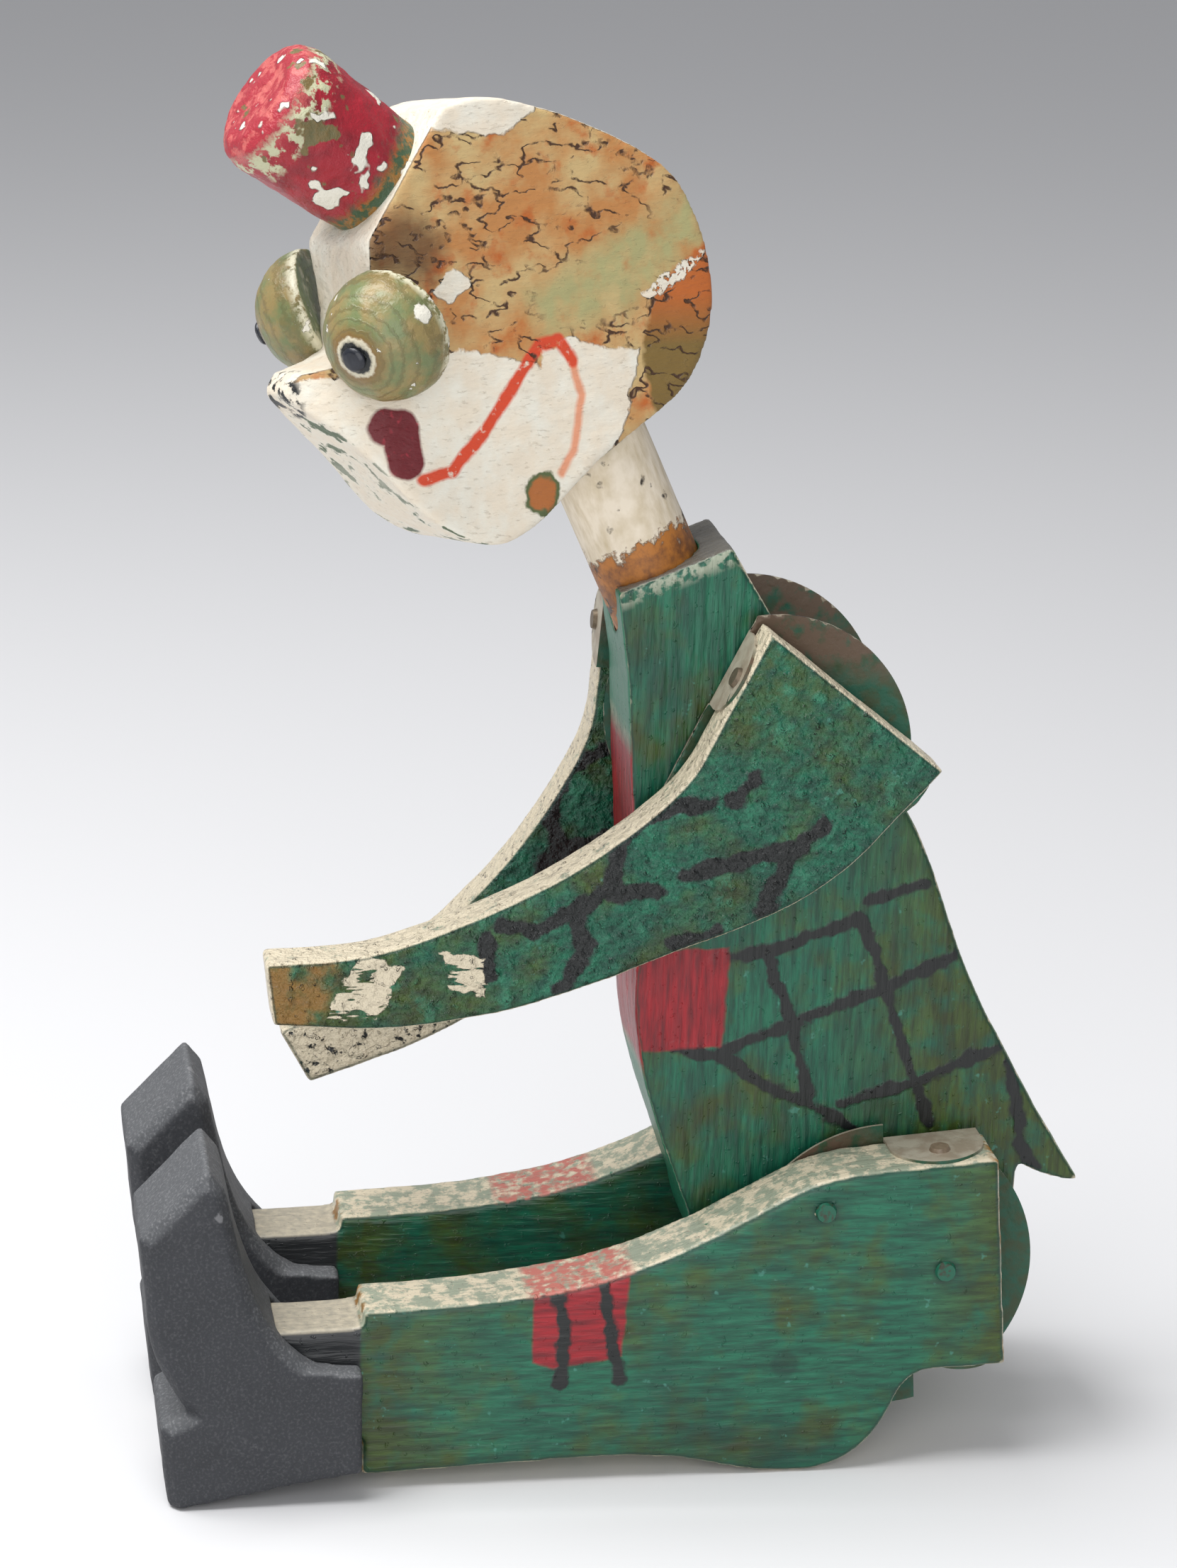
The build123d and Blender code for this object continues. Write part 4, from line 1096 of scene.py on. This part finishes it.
# %% Sawn and turned pieces
def curve_through(points, runs=5):
    """Places on a smooth curve through all the points."""
    ends = [points[0]] + list(points) + [points[-1]]
    found = []
    for before, start, end, after in zip(ends, ends[1:], ends[2:], ends[3:]):
        for count in range(runs):
            share = count / runs
            found.append(tuple(
                0.5 * (2 * b + (c - a) * share + (2 * a - 5 * b + 4 * c - d) * share ** 2
                       + (3 * b - a - 3 * c + d) * share ** 3)
                for a, b, c, d in zip(before, start, end, after)))
    return found + [tuple(points[-1])]


def new_piece(name, points, faces):
    """A piece from points on the drawing."""
    mesh = bpy.data.meshes.new(name)
    mesh.from_pydata([drawn(*point) for point in points], [], faces)
    piece = bpy.data.objects.new(name, mesh)
    bpy.context.scene.collection.objects.link(piece)
    return piece


def sawn_board(name, outline, thick):
    """A board astride x = 0, sawn round an outline of (y, z) points."""
    piece = new_piece(name, [(-thick / 2, y, z) for y, z in outline], [range(len(outline))])
    select_only(piece)
    bpy.ops.object.mode_set(mode="EDIT")
    bpy.ops.mesh.select_all(action="SELECT")
    bpy.ops.mesh.extrude_region_move(TRANSFORM_OT_translate={"value": (thick * MM, 0, 0)})
    bpy.ops.mesh.select_all(action="SELECT")
    bpy.ops.mesh.quads_convert_to_tris()
    bpy.ops.object.mode_set(mode="OBJECT")
    return piece


def turned_piece(name, seat, way, profile, sides=48):
    """A piece turned on a lathe: profile gives (radius, height along way) from the seat out."""
    way = Vector(way).normalized()
    first = way.orthogonal().normalized()
    second = way.cross(first)
    points = []
    for radius, height in profile:
        for count in range(sides):
            angle = radians(360 / sides * count)
            points.append(Vector(seat) + way * height
                          + first * radius * cos(angle) + second * radius * sin(angle))
    faces = [range(sides), range(len(points) - sides, len(points))]
    for ring in range(len(profile) - 1):
        for count in range(sides):
            after = (count + 1) % sides
            faces.append((ring * sides + count, ring * sides + after,
                          (ring + 1) * sides + after, (ring + 1) * sides + count))
    return new_piece(name, points, faces)


def turn_head(piece):
    """Turn a piece of the head from facing forward to where the figure looks."""
    (_, centre, axis, angle), = HEAD_TURNED
    middle = drawn(*centre)
    piece.data.transform(Matrix.Translation(middle) @ Matrix.Rotation(angle, 4, Vector(axis))
                         @ Matrix.Translation(-middle))
    piece.data.update()
    return piece


# %% Head
HEAD_THICK = 16.0
BROW_LOW, BROW_TOP = (-58.0, 149.0), (-48.4, 163.6)
SKULL = curve_through([BROW_TOP, (-42.5, 164.7), (-30.5, 161.9), (-18.3, 155.3), (-13.5, 143.0),
                       (-16.8, 131.8), (-28.6, 123.4), (-37.2, 116.2), (-43.5, 114.2), (-50.9, 117.6),
                       (-57.6, 124.6), (-64.0, 130.0), (-66.2, 132.2), (-64.8, 134.4)])
FACE_FRONT = [(-60.2, 135.4), (-57.8, 136.6), (-57.2, 141.0)]
WHITTLED_FROM, WHITTLED_TO = -48.0, -66.8       # where the board starts to narrow, and its tip
WHITTLED_BELOW, WHITTLED_FULLY = 148.0, 140.0   # it keeps its thickness at the brow
NARROWER, CURVE = 0.72, 2.2                     # by this share at the tip, and slowly at first

head_board = sawn_board("head_board", SKULL + FACE_FRONT + [BROW_LOW], HEAD_THICK)
worn(head_board, square=0.4, smoothing=4, dent=0.3)
middle = DRAWING.x * MM
for vertex in head_board.data.vertices:
    share = ramp(vertex.co.y / MM - DRAWING.y, WHITTLED_FROM, WHITTLED_TO)
    below_brow = ramp(vertex.co.z / MM - DRAWING.z, WHITTLED_BELOW, WHITTLED_FULLY)
    vertex.co.x = middle + (vertex.co.x - middle) * (1 - NARROWER * below_brow * share ** CURVE)
dress(turn_head(head_board), head_paint, "head_and_neck", "head_paint", "head")
print_faces(head_board)

# %% Hat and eyes
HAT_SEAT, HAT_SUNK = (0, -53.3, 156.2), 1.5     # it is let into the head by this much
HAT_LENGTH, HAT_RADIUS, HAT_WAIST = 16.6, 8.0, 7.2
hat = turned_piece("drum_hat", HAT_SEAT, HAT_WAY,
                   [(HAT_WAIST, -HAT_SUNK), (HAT_WAIST, 0), (HAT_RADIUS, HAT_LENGTH - 3.0),
                    (HAT_RADIUS - 0.5, HAT_LENGTH - 1.0), (HAT_RADIUS - 2.0, HAT_LENGTH)])
worn(hat, square=0.3, smoothing=4, dent=0.5, dent_size=3.0)
dress(turn_head(hat), hat_paint, "head_and_neck", "hat_red", "hat")

EYE_RADIUS, EYE_RIM, EYE_FLATTER = 7.4, 1.4, 0.6   # a short straight rim, and a dome a little flat
PUPIL_SUNK = 1.1                                # the nail's head starts this far inside the dome
PUPIL_NAIL = [(0.6, -3.0), (0.6, 0), (1.35, 0.3), (1.5, 0.7), (1.1, 1.1), (0.4, 1.2)]
dome = [(EYE_RADIUS * cos(radians(angle)), EYE_RIM + (EYE_RADIUS - EYE_FLATTER) * sin(radians(angle)))
        for angle in range(0, 90, 6)]
for side_name, (seat, looking) in EYES.items():
    eyeball = turned_piece("eyeball_" + side_name, seat, looking, [(EYE_RADIUS, 0)] + dome)
    worn(eyeball, square=0.3, smoothing=3, dent=0.25, dent_size=2.0)
    dress(turn_head(eyeball), eye_paints[side_name], "head_and_neck", "eye_olive", "eye_" + side_name)
    tip = Vector(seat) + Vector(looking) * (EYE_RIM + EYE_RADIUS - PUPIL_SUNK)
    pupil = turned_piece("pupil_nail_" + side_name, tip, looking, PUPIL_NAIL, 24)
    worn(pupil, square=0.12, smoothing=2, dent=0.1, dent_size=1.0)
    dress(turn_head(pupil), pupil_paint, "head_and_neck", "pupil_black", "pupil_" + side_name)
print_faces(hat, eyeball, pupil)

# %% [markdown]
# ## Tin, nails and pins
# The hip plates, the nails and the two pins are small hard pieces with crisp edges, so they keep
# the shape that they have, and only their finish is new.

# %% CAD nodes that keep their own shape
KEPT = {
    "hip_plate_left": tin_metal, "hip_plate_right": tin_metal,
    "leg_nails_left": leg_nail_paint, "leg_nails_right": leg_nail_paint,
    "arm_nails_left": dark_steel, "arm_nails_right": dark_steel,
    "shoulder_pin": dark_steel, "hip_pin": dark_steel,
}
for node_name, paint in KEPT.items():
    NODES[node_name].data.materials.clear()
    NODES[node_name].data.materials.append(paint)
print("kept", len(KEPT), "nodes with new materials")
